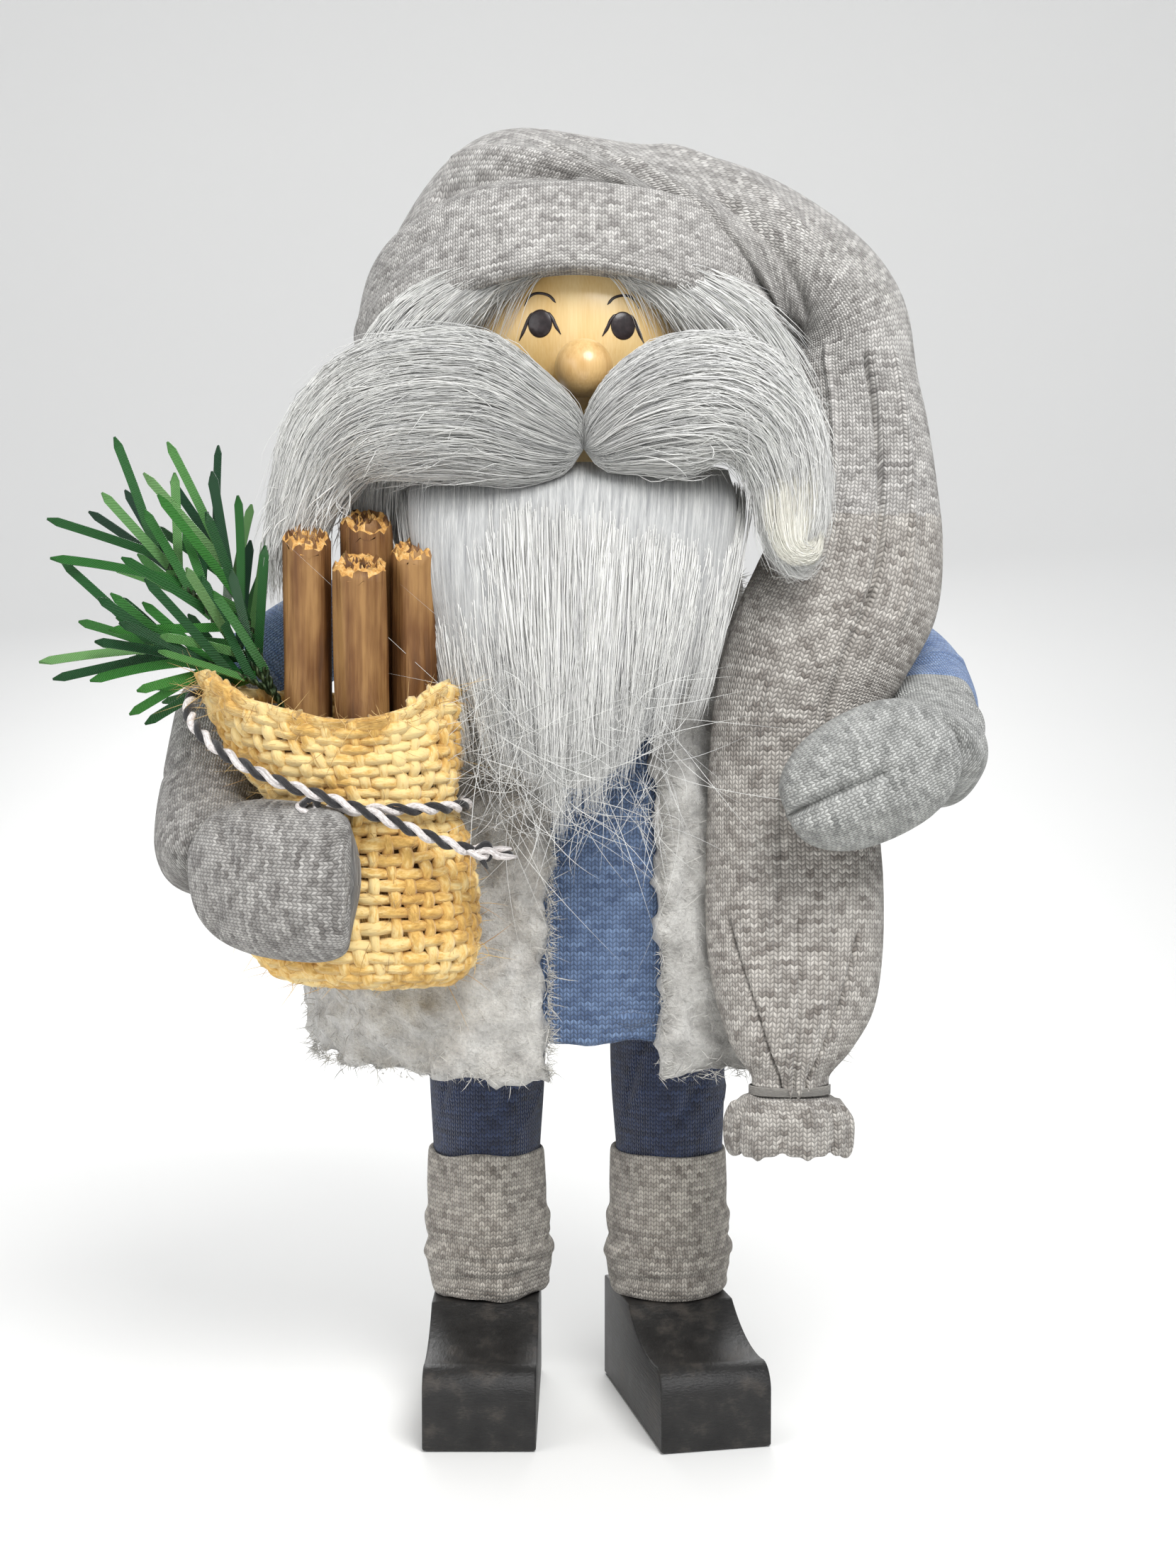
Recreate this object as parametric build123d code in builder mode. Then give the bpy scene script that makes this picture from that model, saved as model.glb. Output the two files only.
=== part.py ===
"""Tomte gnome figurine: wood core, wooden feet and head, stuffed knitted clothes,
a burlap sack of sticks and greenery tied to one mitten.

The figure faces -Y and stands on Z = 0.  Places are given from its upright axis,
which stands a little off the origin because the greenery reaches far to one side.
"""
from build123d import *
from math import cos, radians, sin, tan
import os

os.makedirs("parts", exist_ok=True)

# Driving sizes, in millimetres
axis_x = 11.0
axis_y = 12.0
clearance = 0.4
leg_spacing = 43.0
dowel_radius = 6.0
head_radius = 36.0
head_height = 247.0
nose_radius = 6.3
shoe_width = 25.0
shoe_length = 58.0
sole_to_ankle = 24.0
toe_height = 17.5
shoe_yaw = 12.0
block_bottom = 92.0
tunic_hem = 89.0
vest_hem = 80.0
shoulder_x = 55.0
shoulder_height = 184.0
vest_thickness = 4.5
tunic_thickness = 2.0
twine_diameter = 2.7
sack_wall = 1.8
brim_tilt = 22.0
brim_height = 26.0


def at(x, y, z):
    """A point given from the figure's upright axis."""
    return Vector(x + axis_x, y + axis_y, z)


def save(piece, name):
    """Label a finished piece and write it as its own file."""
    piece.part.label = name
    export_step(piece.part, f"parts/{name}.step")


def oval_stack(ovals, grow=0.0, mode=Mode.ADD):
    """Loft through level ovals, each (height, x, y, half width, half depth)."""
    sections = []
    for height, x, y, half_width, half_depth in ovals:
        with BuildSketch(Plane(at(x, y, height))) as oval:
            Ellipse(half_width + grow, half_depth + grow)
        sections.append(oval.sketch)
    loft(sections, mode=mode)


def turned(base, tip, outline, mode=Mode.ADD):
    """Revolve an outline of (distance from base, radius) about the line base to tip."""
    along = (tip - base).normalized()
    across = along.cross(Vector(0.3, 1, 0.1)).normalized()
    profile = [(radius, distance) for distance, radius in outline]
    with BuildSketch(Plane(base, x_dir=across, z_dir=across.cross(along))) as half_view:
        with BuildLine():
            Polyline((0, profile[0][1]), *profile, (0, profile[-1][1]), close=True)
        make_face()
    revolve(half_view.sketch, axis=Axis(base, along), mode=mode)


def plump(base, tip, wide, half_width, half_thickness, grow=0.0, mode=Mode.ADD):
    """A stuffed shape: ovals square to the line base to tip, fullest at the middle."""
    line = tip - base
    along = line.normalized()
    sections = []
    for share, fullness in ((0, 0.42), (0.12, 0.76), (0.34, 0.98), (0.62, 1), (0.87, 0.76), (1, 0.4)):
        stretch = (share - 0.5) * 2 * grow
        center = base + line * share + along * stretch
        with BuildSketch(Plane(center, x_dir=wide, z_dir=along)) as oval:
            Ellipse(half_width * fullness + grow, half_thickness * fullness + grow)
        sections.append(oval.sketch)
    loft(sections, mode=mode)


# ---------------------------------------------------------------- feet and legs
heel = 14.0
toe = heel - shoe_length
ankle_front = -12.0
legs = {"right": (-leg_spacing / 2, 0.0), "left": (leg_spacing / 2, shoe_yaw)}
for side, (leg_x, yaw) in legs.items():
    side_plane = Plane(at(leg_x, 0, 0), x_dir=(-sin(radians(yaw)), cos(radians(yaw)), 0),
                       z_dir=(cos(radians(yaw)), sin(radians(yaw)), 0))
    with BuildPart() as shoe:
        with BuildSketch(side_plane):
            with BuildLine():
                Polyline((ankle_front, sole_to_ankle), (heel, sole_to_ankle), (heel, 0), (toe, 0),
                         (toe, toe_height - 5))
                ThreePointArc((toe, toe_height - 5), (toe + 2.2, toe_height - 1), (toe + 7, toe_height))
                ThreePointArc((toe + 7, toe_height), (toe + 20, toe_height + 1), (ankle_front, sole_to_ankle))
            make_face()
        extrude(amount=shoe_width / 2, both=True)
        with Locations(at(leg_x, 0, sole_to_ankle)):
            Hole(dowel_radius + 0.1, depth=14)
    save(shoe, f"{side}_shoe")

    with BuildPart() as leg_dowel:
        with BuildSketch(Plane(at(leg_x, 0, sole_to_ankle - 13.8))):
            Circle(dowel_radius)
        extrude(amount=block_bottom + 18 - sole_to_ankle + 13.6)
    save(leg_dowel, f"{side}_leg_dowel")

    foot = at(leg_x, 0, sole_to_ankle + 0.3)
    with BuildPart() as trouser_leg:
        turned(foot, foot + Vector(0, 0, 1), [(0, 12), (34, 12), (36.5, 13.3), (60, 13.6), (65.4, 13)])
        with BuildSketch(Plane(foot)):
            Circle(dowel_radius + 0.15)
        extrude(amount=70, mode=Mode.SUBTRACT)
    save(trouser_leg, f"{side}_trouser_leg")

    warmer_folds = [(0, 13.6), (4, 14.9), (9, 14.4), (13, 13.4), (17, 14.8), (22, 14.2),
                    (26, 14.6), (33, 14.3), (34, 13.6)]
    with BuildPart() as leg_warmer:
        turned(foot, foot + Vector(0, 0, 1), warmer_folds)
        with BuildSketch(Plane(foot)):
            Circle(12.3)
        extrude(amount=40, mode=Mode.SUBTRACT)
    save(leg_warmer, f"{side}_leg_warmer")

# ---------------------------------------------------------------- torso and clothes
with BuildPart() as torso_block:
    with BuildSketch(Plane(at(0, 0, block_bottom))):
        RectangleRounded(62, 28, 8)
    extrude(amount=88)
    for leg_x, _ in legs.values():
        with BuildSketch(Plane(at(leg_x, 0, block_bottom))):
            Circle(dowel_radius + 0.1)
        extrude(amount=18, mode=Mode.SUBTRACT)
    with BuildSketch(Plane(at(0, 0, block_bottom + 88))):
        Circle(dowel_radius + 0.1)
    extrude(amount=-16, mode=Mode.SUBTRACT)
    chamfer(torso_block.faces().sort_by(Axis.Z)[-1].outer_wire().edges(), 2)
save(torso_block, "torso_block")

with BuildPart() as neck_dowel:
    with BuildSketch(Plane(at(0, 0, block_bottom + 72.2))):
        Circle(dowel_radius)
    extrude(amount=head_height - head_radius + 14 - block_bottom - 72.2)
save(neck_dowel, "neck_dowel")

# Outer outline of the vest, from hem to shoulders
vest_ovals = [(vest_hem, 0, 0, 62, 43), (97, 0, 0, 64, 43), (120, 0, 0, 60, 40),
              (142, 0, 0, 54, 37), (165, 0, 0, 46, 33), (185, 0, 0, 41, 28), (203, 0, 0, 33, 23),
              (214, 0, 0, 27, 20)]


def between(low, high):
    """The vest's ovals cut to a span of heights, with ovals worked out at its ends."""
    def size_at(height):
        for lower, upper in zip(vest_ovals, vest_ovals[1:]):
            if lower[0] <= height <= upper[0]:
                share = (height - lower[0]) / (upper[0] - lower[0])
                return [a + (b - a) * share for a, b in zip(lower[3:], upper[3:])]
    inner = [oval for oval in vest_ovals if low + 3 < oval[0] < high - 3]
    return [(low, 0, 0, *size_at(low)), *inner, (high, 0, 0, *size_at(high))]


vest_inset = vest_thickness + clearance
with BuildPart() as vest:
    oval_stack(vest_ovals)
    oval_stack(vest_ovals, -vest_thickness, Mode.SUBTRACT)
    with Locations(at(6, -40, 140)):
        Box(24, 70, 160, mode=Mode.SUBTRACT)
save(vest, "vest")

with BuildPart() as tunic:
    oval_stack(between(tunic_hem, 208), -vest_inset)
    oval_stack(between(tunic_hem, 208), -vest_inset - tunic_thickness, Mode.SUBTRACT)
save(tunic, "tunic")

with BuildPart() as torso_padding:
    oval_stack(between(tunic_hem + 2, 200), -vest_inset - tunic_thickness - 3 * clearance)
    with BuildSketch(Plane(at(0, 0, block_bottom - clearance))):
        RectangleRounded(62.6, 28.6, 8)
    extrude(amount=88 + 2 * clearance, mode=Mode.SUBTRACT)
    with BuildSketch(Plane(at(0, 0, 80))):
        with Locations(*[(leg_x, 0) for leg_x, _ in legs.values()]):
            Circle(dowel_radius + 0.3)
    extrude(amount=20, mode=Mode.SUBTRACT)
    with BuildSketch(Plane(at(0, 0, 170))):
        Circle(dowel_radius + 0.3)
    extrude(amount=40, mode=Mode.SUBTRACT)
save(torso_padding, "torso_padding")

# ---------------------------------------------------------------- head and face
head_center = at(0, 0, head_height)
nose_center = at(1.5, -38.5, head_height - 11)
with BuildPart() as head_ball:
    with Locations(head_center):
        Sphere(head_radius)
    with BuildSketch(Plane(at(0, 0, head_height - head_radius - 1))):
        Circle(dowel_radius + 0.1)
    extrude(amount=15.2, mode=Mode.SUBTRACT)
save(head_ball, "head_ball")

with BuildPart() as nose_bead:
    with Locations(nose_center):
        Sphere(nose_radius)
    with Locations(head_center):
        Sphere(head_radius + 0.05, mode=Mode.SUBTRACT)
save(nose_bead, "nose_bead")


def clear_of_head():
    """Hollow a soft piece so that it lies on the head and round the nose."""
    with Locations(head_center):
        Sphere(head_radius + clearance, mode=Mode.SUBTRACT)
    with Locations(nose_center):
        Sphere(nose_radius + clearance, mode=Mode.SUBTRACT)


lobes = {
    "right": (at(0.3, -46, 217), at(-61, -41, 220), 14.5, 11),
    "left": (at(2.3, -46, 217), at(51, -41, 218), 15.0, 11),
}


def cut_lobes():
    """Take both moustache lobes, with clearance, out of the piece behind them."""
    for root, end, half_height, half_depth in lobes.values():
        plump(root, end, (0, 0, 1), half_height, half_depth, clearance, Mode.SUBTRACT)


for side, (root, end, half_height, half_depth) in lobes.items():
    with BuildPart() as moustache:
        plump(root, end, (0, 0, 1), half_height, half_depth)
        clear_of_head()
    save(moustache, f"moustache_{side}")

beard_root = [(198, 3, -40.5, 27, 8), (212, 0, -36, 34, 9)]
with BuildPart() as beard:
    oval_stack([(137, 2, -51, 12, 4), (150, 2, -49.5, 19, 5.5), (175, 3, -47, 22, 6.5), *beard_root])
    clear_of_head()
    cut_lobes()
save(beard, "beard")

brim_plane = Plane(at(0, -1, head_height - 9.5), x_dir=(1, 0, 0),
                   z_dir=(0, sin(radians(brim_tilt)), cos(radians(brim_tilt))))
for side, sign in (("right", -1), ("left", 1)):
    with BuildPart() as hair:
        plump(at(22 * sign, -24, 256), at(43 * sign, -15, 206), (1, 0, 0), 14, 13)
        clear_of_head()
        cut_lobes()
        oval_stack(beard_root, 1.5, Mode.SUBTRACT)
        split(bisect_by=brim_plane.offset(-clearance), keep=Keep.BOTTOM)
    save(hair, f"hair_{side}")

# ---------------------------------------------------------------- hat
def brim_oval(height, half_width, half_depth, x=0.0, y=0.0):
    """One oval of the hat, square to the tilted brim."""
    with BuildSketch(brim_plane.offset(height)) as oval:
        with Locations((x, y)):
            Ellipse(half_width, half_depth)
    return oval.sketch


crown_ovals = [(0, 44.4, 41.4, 0, 0), (brim_height, 44.4, 41.4, 0, 0), (41, 38, 35, -2, 1),
               (53, 26, 24, -6, 1), (62.3, 13, 12, -8, 0)]


def crown_dome(grow=0.0, mode=Mode.ADD):
    """The full dome of the hat, before it is hollowed for the head."""
    loft([brim_oval(height, half_width + grow, half_depth + grow, x, y)
          for height, half_width, half_depth, x, y in crown_ovals], mode=mode)


with BuildPart() as hat_crown:
    crown_dome()
    with Locations(head_center):
        Sphere(head_radius + clearance, mode=Mode.SUBTRACT)
save(hat_crown, "hat_crown")

with BuildPart() as hat_cuff:
    loft([brim_oval(0.2, 48.6, 45.6), brim_oval(6, 50, 47), brim_oval(brim_height - 6, 50, 47),
          brim_oval(brim_height, 48, 45)], ruled=True)
    with BuildSketch(brim_plane):
        Ellipse(44.8, 41.8)
    extrude(amount=40, mode=Mode.SUBTRACT)
save(hat_cuff, "hat_cuff")

tail_ovals = [(248, 62.5, -9, 12.5, 11), (235, 64, -13, 13, 10), (215, 64.5, -21, 15, 8.5),
              (190, 60, -31, 20, 7), (166, 47.5, -34, 17.5, 5.5), (139, 47.5, -35.5, 18.5, 5.5),
              (120, 48, -39, 19, 6.5),
              (97, 47.5, -43, 17.5, 6.5), (86, 46, -45.5, 12, 5.5), (82, 46, -45.5, 9, 4.5)]
fold_sections = [(at(16, 2, 273), (1, 0, -0.1), 24, 20), (at(34, 0, 271), (1, 0, -0.35), 20, 16.5),
                 (at(52, -5, 264), (0.9, 0, -0.75), 15, 13.5)]
with BuildPart() as hat_tail:
    for center, normal, half_depth, half_height in fold_sections:
        with BuildSketch(Plane(center, x_dir=(0, 1, 0), z_dir=normal)):
            Ellipse(half_depth, half_height)
    for height, x, y, half_width, half_depth in tail_ovals:
        with BuildSketch(Plane(at(x, y, height), x_dir=(0, 1, 0), z_dir=(0, 0, -1))):
            Ellipse(half_depth, half_width)
    loft()
    crown_dome(clearance, Mode.SUBTRACT)
    with BuildSketch(brim_plane.offset(-1)):
        Ellipse(50 + clearance, 47 + clearance)
    extrude(amount=brim_height + 1 + clearance, mode=Mode.SUBTRACT)
save(hat_tail, "hat_tail")

with BuildPart() as hat_tip_tie:
    with BuildSketch(Plane(at(46, -45.5, 79.2))):
        Ellipse(8.5, 4.6)
    extrude(amount=2.4)
save(hat_tip_tie, "hat_tip_tie")

with BuildPart() as hat_tip:
    oval_stack([(67, 46.5, -45.5, 13.2, 7), (73, 46.5, -45.5, 13.4, 7.4), (77, 46, -45.5, 12, 6.4),
                (78.9, 46, -45.5, 8.5, 4.5)])
save(hat_tip, "hat_tip")

# ---------------------------------------------------------------- sack, sticks and greenery
sack_y = -48.0
stick_places = {
    "stick_1": (-57.0, sack_y, 4.9, 200),
    "stick_2": (-45.5, sack_y - 5.4, 5.6, 194),
    "stick_3": (-44.5, sack_y + 5.8, 5.4, 203),
    "stick_4": (-34.8, sack_y, 4.8, 197),
}
sack_floor = 105.0
neck_height = 142.5
pouch_ovals = [(sack_floor, -43, sack_y, 16, 10), (111, -45, sack_y, 22.5, 14),
               (124, -46.5, sack_y, 23.5, 15), (135, -46.5, sack_y, 21.5, 14.8),
               (neck_height, -45.5, sack_y, 19, 14.6)]
collar_ovals = [(neck_height + 0.1, -45.5, sack_y, 19, 14.6), (152, -48.5, sack_y, 23, 15.6),
                (165, -51.5, sack_y, 27, 16.5)]
for name, (x, y, radius, top) in stick_places.items():
    with BuildPart() as stick:
        with BuildSketch(Plane(at(x, y, sack_floor + 4))):
            Circle(radius)
        with BuildSketch(Plane(at(x, y, top))):
            Circle(radius * 0.98)
        loft()
        chamfer(stick.faces().sort_by(Axis.Z)[-1].edges(), 0.5)
    save(stick, name)

with BuildPart() as sack_pouch:
    oval_stack(pouch_ovals)
    hollow = [(sack_floor + 3.4, *pouch_ovals[0][1:3], 20, 13), *pouch_ovals[1:]]
    oval_stack(hollow, -sack_wall, Mode.SUBTRACT)
save(sack_pouch, "sack_pouch")

with BuildPart() as sack_collar:
    oval_stack(collar_ovals)
    oval_stack(collar_ovals, -sack_wall, Mode.SUBTRACT)
save(sack_collar, "sack_collar")

fork = at(-66, -41, 167)
twig_tips = [at(-91, -35, 196), at(-89, -42, 176), at(-79, -33, 198)]
stem_points = [at(-53, -40.5, sack_floor + 8), at(-54, -40.5, 147), at(-64, -41, 160), fork]
with BuildPart() as sprig_stem:
    stem_runs = [*zip(stem_points, stem_points[1:]), *((fork, tip) for tip in twig_tips)]
    for base, tip in stem_runs:
        turned(base, tip, [(0, 0.9), ((tip - base).length, 0.8)])
        with Locations(base):
            Sphere(0.95)
save(sprig_stem, "sprig_stem")

needle_length = 22.0
needle_width = 2.0
with BuildPart() as sprig_needles:
    for twig_tip in twig_tips:
        along = (twig_tip - fork).normalized()
        side_way = along.cross(Vector(0, 1, 0)).normalized()
        out_way = along.cross(side_way)
        for step in range(20):
            turn = radians(137.5 * step)
            spread = radians(46 - step)
            away = side_way * cos(turn) + out_way * sin(turn)
            aim = along * cos(spread) + away * sin(spread)
            start = fork + (twig_tip - fork) * (0.35 + 0.034 * step) + away * 2.6
            reach = start + aim * needle_length - at(0, 0, 0)
            if reach.X > -66 or reach.Y > -26 or reach.Y < -58 or reach.Z < 167:
                continue
            with Locations(Plane(start, x_dir=along.cross(aim), z_dir=aim)):
                Box(needle_width, 0.5, needle_length, align=(Align.CENTER, Align.CENTER, Align.MIN))
    for base, tip in stem_runs:
        turned(base, tip, [(-1, 1.2), ((tip - base).length + 1, 1.1)], Mode.SUBTRACT)
save(sprig_needles, "sprig_needles")

# ---------------------------------------------------------------- arms
arms = {
    "left": {
        "shoulder": at(shoulder_x, 2, shoulder_height), "elbow": at(78, -9, 168),
        "wrist": at(77, -38, 154), "mitten": (at(76, -50.5, 157), at(46, -54, 141)),
        "wide": (0.5, 0.06, -0.86), "sleeve": 10.0, "cuff": 10.6, "half_width": 13.6, "half_thick": 10.5,
    },
    "right": {
        "shoulder": at(-shoulder_x, 2, shoulder_height), "elbow": at(-79, -9, 164),
        "wrist": at(-79, -45, 134), "mitten": (at(-78, -54, 128), at(-45, -70.5, 127)),
        "wide": (0, 0, 1), "sleeve": 10.5, "cuff": 11.6, "half_width": 15.5, "half_thick": 9.0,
    },
}


def arm_route(arm):
    """Shoulder, elbow and a point in the wrist."""
    return [arm["shoulder"] + Vector(0, 0, -2), arm["elbow"], arm["wrist"]]


def wire_along(points, radius, mode=Mode.ADD):
    """A wire along straight runs with a rounded elbow."""
    with BuildLine() as route:
        FilletPolyline(*points, radius=6)
    wire_path = route.wire()
    with BuildSketch(Plane(wire_path @ 0, z_dir=wire_path % 0)) as section:
        Circle(radius)
    sweep(section.sketch, path=wire_path, mode=mode)


def sleeve_body(arm, grow=0.0, mode=Mode.ADD):
    """Upper arm: a tube with a ball at the shoulder and one at the elbow."""
    radius = arm["sleeve"] + grow
    length = (arm["elbow"] - arm["shoulder"]).length
    turned(arm["shoulder"], arm["elbow"], [(0, radius), (length, radius)], mode)
    with Locations(arm["shoulder"], arm["elbow"]):
        Sphere(radius, mode=mode)


def cuff_body(arm, grow=0.0, mode=Mode.ADD):
    """Forearm: a knitted cuff, fuller at the wrist."""
    length = (arm["wrist"] - arm["elbow"]).length
    full = arm["cuff"] + grow
    outline = [(3, full - 1), (length * 0.5, full), (length - 2, full), (length + 3 + grow, full - 3)]
    turned(arm["elbow"], arm["wrist"], outline, mode)


def press_on_sack():
    """Shape the hand that holds the sack round the pouch, the collar and the twine."""
    oval_stack(pouch_ovals, 0.2, Mode.SUBTRACT)
    oval_stack(collar_ovals, 0.2, Mode.SUBTRACT)
    twine_bed = [(height, *pouch_ovals[-1][1:]) for height in (neck_height - 3, neck_height + 4)]
    oval_stack(twine_bed, twine_diameter + 3.4, Mode.SUBTRACT)


for side, arm in arms.items():
    with BuildPart() as arm_wire:
        wire_along(arm_route(arm), 1.0)
    save(arm_wire, f"{side}_arm_wire")

    with BuildPart() as sleeve:
        sleeve_body(arm)
        wire_along(arm_route(arm), 1.15, Mode.SUBTRACT)
    save(sleeve, f"{side}_sleeve")

    with BuildPart() as cuff:
        cuff_body(arm)
        sleeve_body(arm, 0.1, Mode.SUBTRACT)
        wire_along(arm_route(arm), 1.15, Mode.SUBTRACT)
        if side == "right":
            press_on_sack()
    save(cuff, f"{side}_cuff")

    with BuildPart() as mitten:
        base, tip = arm["mitten"]
        plump(base, tip, arm["wide"], arm["half_width"], arm["half_thick"])
        cuff_body(arm, 0.1, Mode.SUBTRACT)
        if side == "right":
            press_on_sack()
    save(mitten, f"{side}_mitten")

# ---------------------------------------------------------------- twine
def twine(name, points):
    """A limp twine through hand-placed points, each corner as round as its runs allow."""
    runs = [b - a for a, b in zip(points, points[1:])]
    radii = []
    for before, after in zip(runs, runs[1:]):
        half_turn = radians(before.get_angle(after) / 2)
        radii.append(0.45 * min(before.length, after.length) / tan(half_turn))
    print(name, "bend radii", [round(radius, 1) for radius in radii])
    with BuildPart() as cord:
        with BuildLine():
            route = FilletPolyline(*points, radius=radii)
        with BuildSketch(Plane(route @ 0, z_dir=route % 0)):
            Circle(twine_diameter / 2)
        sweep(path=route)
    section = 3.14159 * (twine_diameter / 2) ** 2
    print(name, "length", round(route.length, 1), "volume ratio",
          round(cord.part.volume / (section * route.length), 4))
    save(cord, name)


twine("twine_strap", [at(-59, -28, 157), at(-69, -28.5, 163), at(-78, -33.5, 167), at(-83, -44, 166),
                      at(-81.5, -57, 160.5), at(-73, -66, 154), at(-62, -69.5, 148.5), at(-51, -70, 145),
                      at(-40, -69, 141), at(-30, -66, 136.5), at(-21, -62, 133), at(-14, -58, 132.5)])
twine("twine_neck", [at(-56, -65.6, 142.4), at(-44, -66.6, 142.2), at(-31, -63, 142.2),
                     at(-23.2, -53.8, 142.3), at(-24, -41, 142.5), at(-34.6, -31.5, 142.6),
                     at(-49, -30, 142.6), at(-61, -34, 142.5),
                     at(-67.7, -44, 142.4), at(-66, -57, 142.4)])
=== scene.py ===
import math
import bpy
import numpy as np
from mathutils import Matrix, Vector


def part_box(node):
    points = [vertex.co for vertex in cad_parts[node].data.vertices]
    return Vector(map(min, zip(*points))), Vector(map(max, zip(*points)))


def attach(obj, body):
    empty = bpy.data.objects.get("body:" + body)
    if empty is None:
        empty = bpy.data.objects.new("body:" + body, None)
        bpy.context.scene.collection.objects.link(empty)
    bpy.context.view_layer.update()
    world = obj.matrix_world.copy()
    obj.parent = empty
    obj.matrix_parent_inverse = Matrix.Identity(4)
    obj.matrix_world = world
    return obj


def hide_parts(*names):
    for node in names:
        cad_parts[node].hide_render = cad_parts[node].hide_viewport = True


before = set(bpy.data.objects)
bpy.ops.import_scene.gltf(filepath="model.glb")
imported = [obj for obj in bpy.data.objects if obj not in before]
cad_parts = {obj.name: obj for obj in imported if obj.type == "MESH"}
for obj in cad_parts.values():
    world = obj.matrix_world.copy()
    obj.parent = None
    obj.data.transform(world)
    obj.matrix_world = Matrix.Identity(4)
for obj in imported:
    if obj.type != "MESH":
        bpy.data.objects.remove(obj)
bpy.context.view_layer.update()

# ---------------------------------------------------------------------------------------------
# Camera, lamps and floor: a table-top picture taken from in front, a little above the belt,
# under broad soft lamps on a pale paper sweep.
MM = 0.001
head_low, head_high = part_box("head_ball")
stand = Vector(((head_low.x + head_high.x) / 2, (head_low.y + head_high.y) / 2, 0))


def at(x, y, z):
    """A point in metres, from millimetres counted from the figure's upright axis."""
    return Vector((stand.x + x * MM, stand.y + y * MM, z * MM))


camera = bpy.data.objects.new("camera", bpy.data.cameras.new("camera"))
bpy.context.collection.objects.link(camera)
camera.location = at(2.4, -520, 172)
camera.rotation_euler = (math.radians(90 - 3.08), 0, 0)
camera.data.sensor_fit = "VERTICAL"
camera.data.sensor_height = 36
camera.data.lens = 50.8
camera.data.clip_start = 0.02
bpy.context.scene.camera = camera


def lamp(name, place, size, watts):
    """A round soft lamp that looks at the figure's chest."""
    light = bpy.data.lights.new(name, "AREA")
    light.shape = "DISK"
    light.size = size
    light.energy = watts
    holder = bpy.data.objects.new(name, light)
    bpy.context.collection.objects.link(holder)
    holder.location = place
    holder.rotation_euler = (at(0, 0, 160) - place).to_track_quat("-Z", "Y").to_euler()


lamp("key_lamp", at(180, -480, 640), 0.4, 4.6)
lamp("fill_lamp", at(-560, -460, 300), 0.6, 1.6)
lamp("back_lamp", at(-60, 620, 520), 0.5, 3.0)
world = bpy.data.worlds.new("studio")
bpy.context.scene.world = world
world.use_nodes = True
world.node_tree.nodes["Background"].inputs["Color"].default_value = (0.95, 0.96, 1, 1)
world.node_tree.nodes["Background"].inputs["Strength"].default_value = 0.5
bpy.context.scene.view_settings.view_transform = "Standard"


def linear(code):
    """An sRGB hex colour as linear values."""
    parts = [int(code[i:i + 2], 16) / 255 for i in (1, 3, 5)]
    return (*[c / 12.92 if c <= 0.04045 else ((c + 0.055) / 1.055) ** 2.4 for c in parts], 1)


def node(material, kind, inputs=None, out=0, stops=(), **settings):
    """Add one shader node with its settings, give its inputs values or links, return an output."""
    made = material.node_tree.nodes.new("ShaderNode" + kind)
    for setting, value in settings.items():
        setattr(made, setting, value)
    for _ in stops[2:]:
        made.color_ramp.elements.new(0)
    for index in reversed(range(len(stops))):
        made.color_ramp.elements[index].position = stops[index][0]
        made.color_ramp.elements[index].color = linear(stops[index][1])
    for socket, value in (inputs or {}).items():
        if isinstance(value, bpy.types.NodeSocket):
            material.node_tree.links.new(value, made.inputs[socket])
        else:
            made.inputs[socket].default_value = value
    return made.outputs[out]


def new_material(name, **sockets):
    """A material whose shader sockets get one value all over."""
    material = bpy.data.materials.new(name)
    material.use_nodes = True
    for socket, value in sockets.items():
        material.node_tree.nodes["Principled BSDF"].inputs[socket.replace("_", " ")].default_value = value
    return material


def surface(material, colour, height=None, depth=0.0, roughness=None):
    """Join a colour, a height that stands for depth metres, and a roughness to the shader."""
    shader = material.node_tree.nodes["Principled BSDF"]
    material.node_tree.links.new(colour, shader.inputs["Base Color"])
    if height is not None:
        bump = node(material, "Bump", {"Height": height, "Distance": depth, "Strength": 1.0})
        material.node_tree.links.new(bump, shader.inputs["Normal"])
    if roughness is not None:
        material.node_tree.links.new(roughness, shader.inputs["Roughness"])


bpy.ops.object.select_all(action="DESELECT")
bpy.ops.mesh.primitive_plane_add(size=5, location=(0, -1.6, -0.0003))
sweep = bpy.context.object
sweep.name = "paper_sweep"
bpy.ops.object.transform_apply(location=True)
bpy.ops.object.mode_set(mode="EDIT")
bpy.ops.mesh.select_all(action="DESELECT")
bpy.ops.object.mode_set(mode="OBJECT")
for edge in sweep.data.edges:
    edge.select = all(sweep.data.vertices[index].co.y > 0.8 for index in edge.vertices)
bpy.ops.object.mode_set(mode="EDIT")
bpy.ops.mesh.extrude_region_move(TRANSFORM_OT_translate={"value": (0, 0, 3)})
bpy.ops.mesh.select_all(action="DESELECT")
bpy.ops.object.mode_set(mode="OBJECT")
bend = sweep.modifiers.new("bend", "BEVEL")
bend.width = 0.5
bend.segments = 12
bpy.ops.object.modifier_apply(modifier="bend")
bpy.ops.object.shade_smooth()
sweep.data.materials.append(new_material("pale_paper", Base_Color=linear("#F2F2F0"), Roughness=0.9))

# ---------------------------------------------------------------------------------------------
# Twine: a limp 2.7 mm cord of one white and one black cotton strand laid together.  One length
# comes over the mitten and ends in a small frayed knot, the other is tied round the sack's neck.
twine_width = 2.7 * MM


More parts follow.
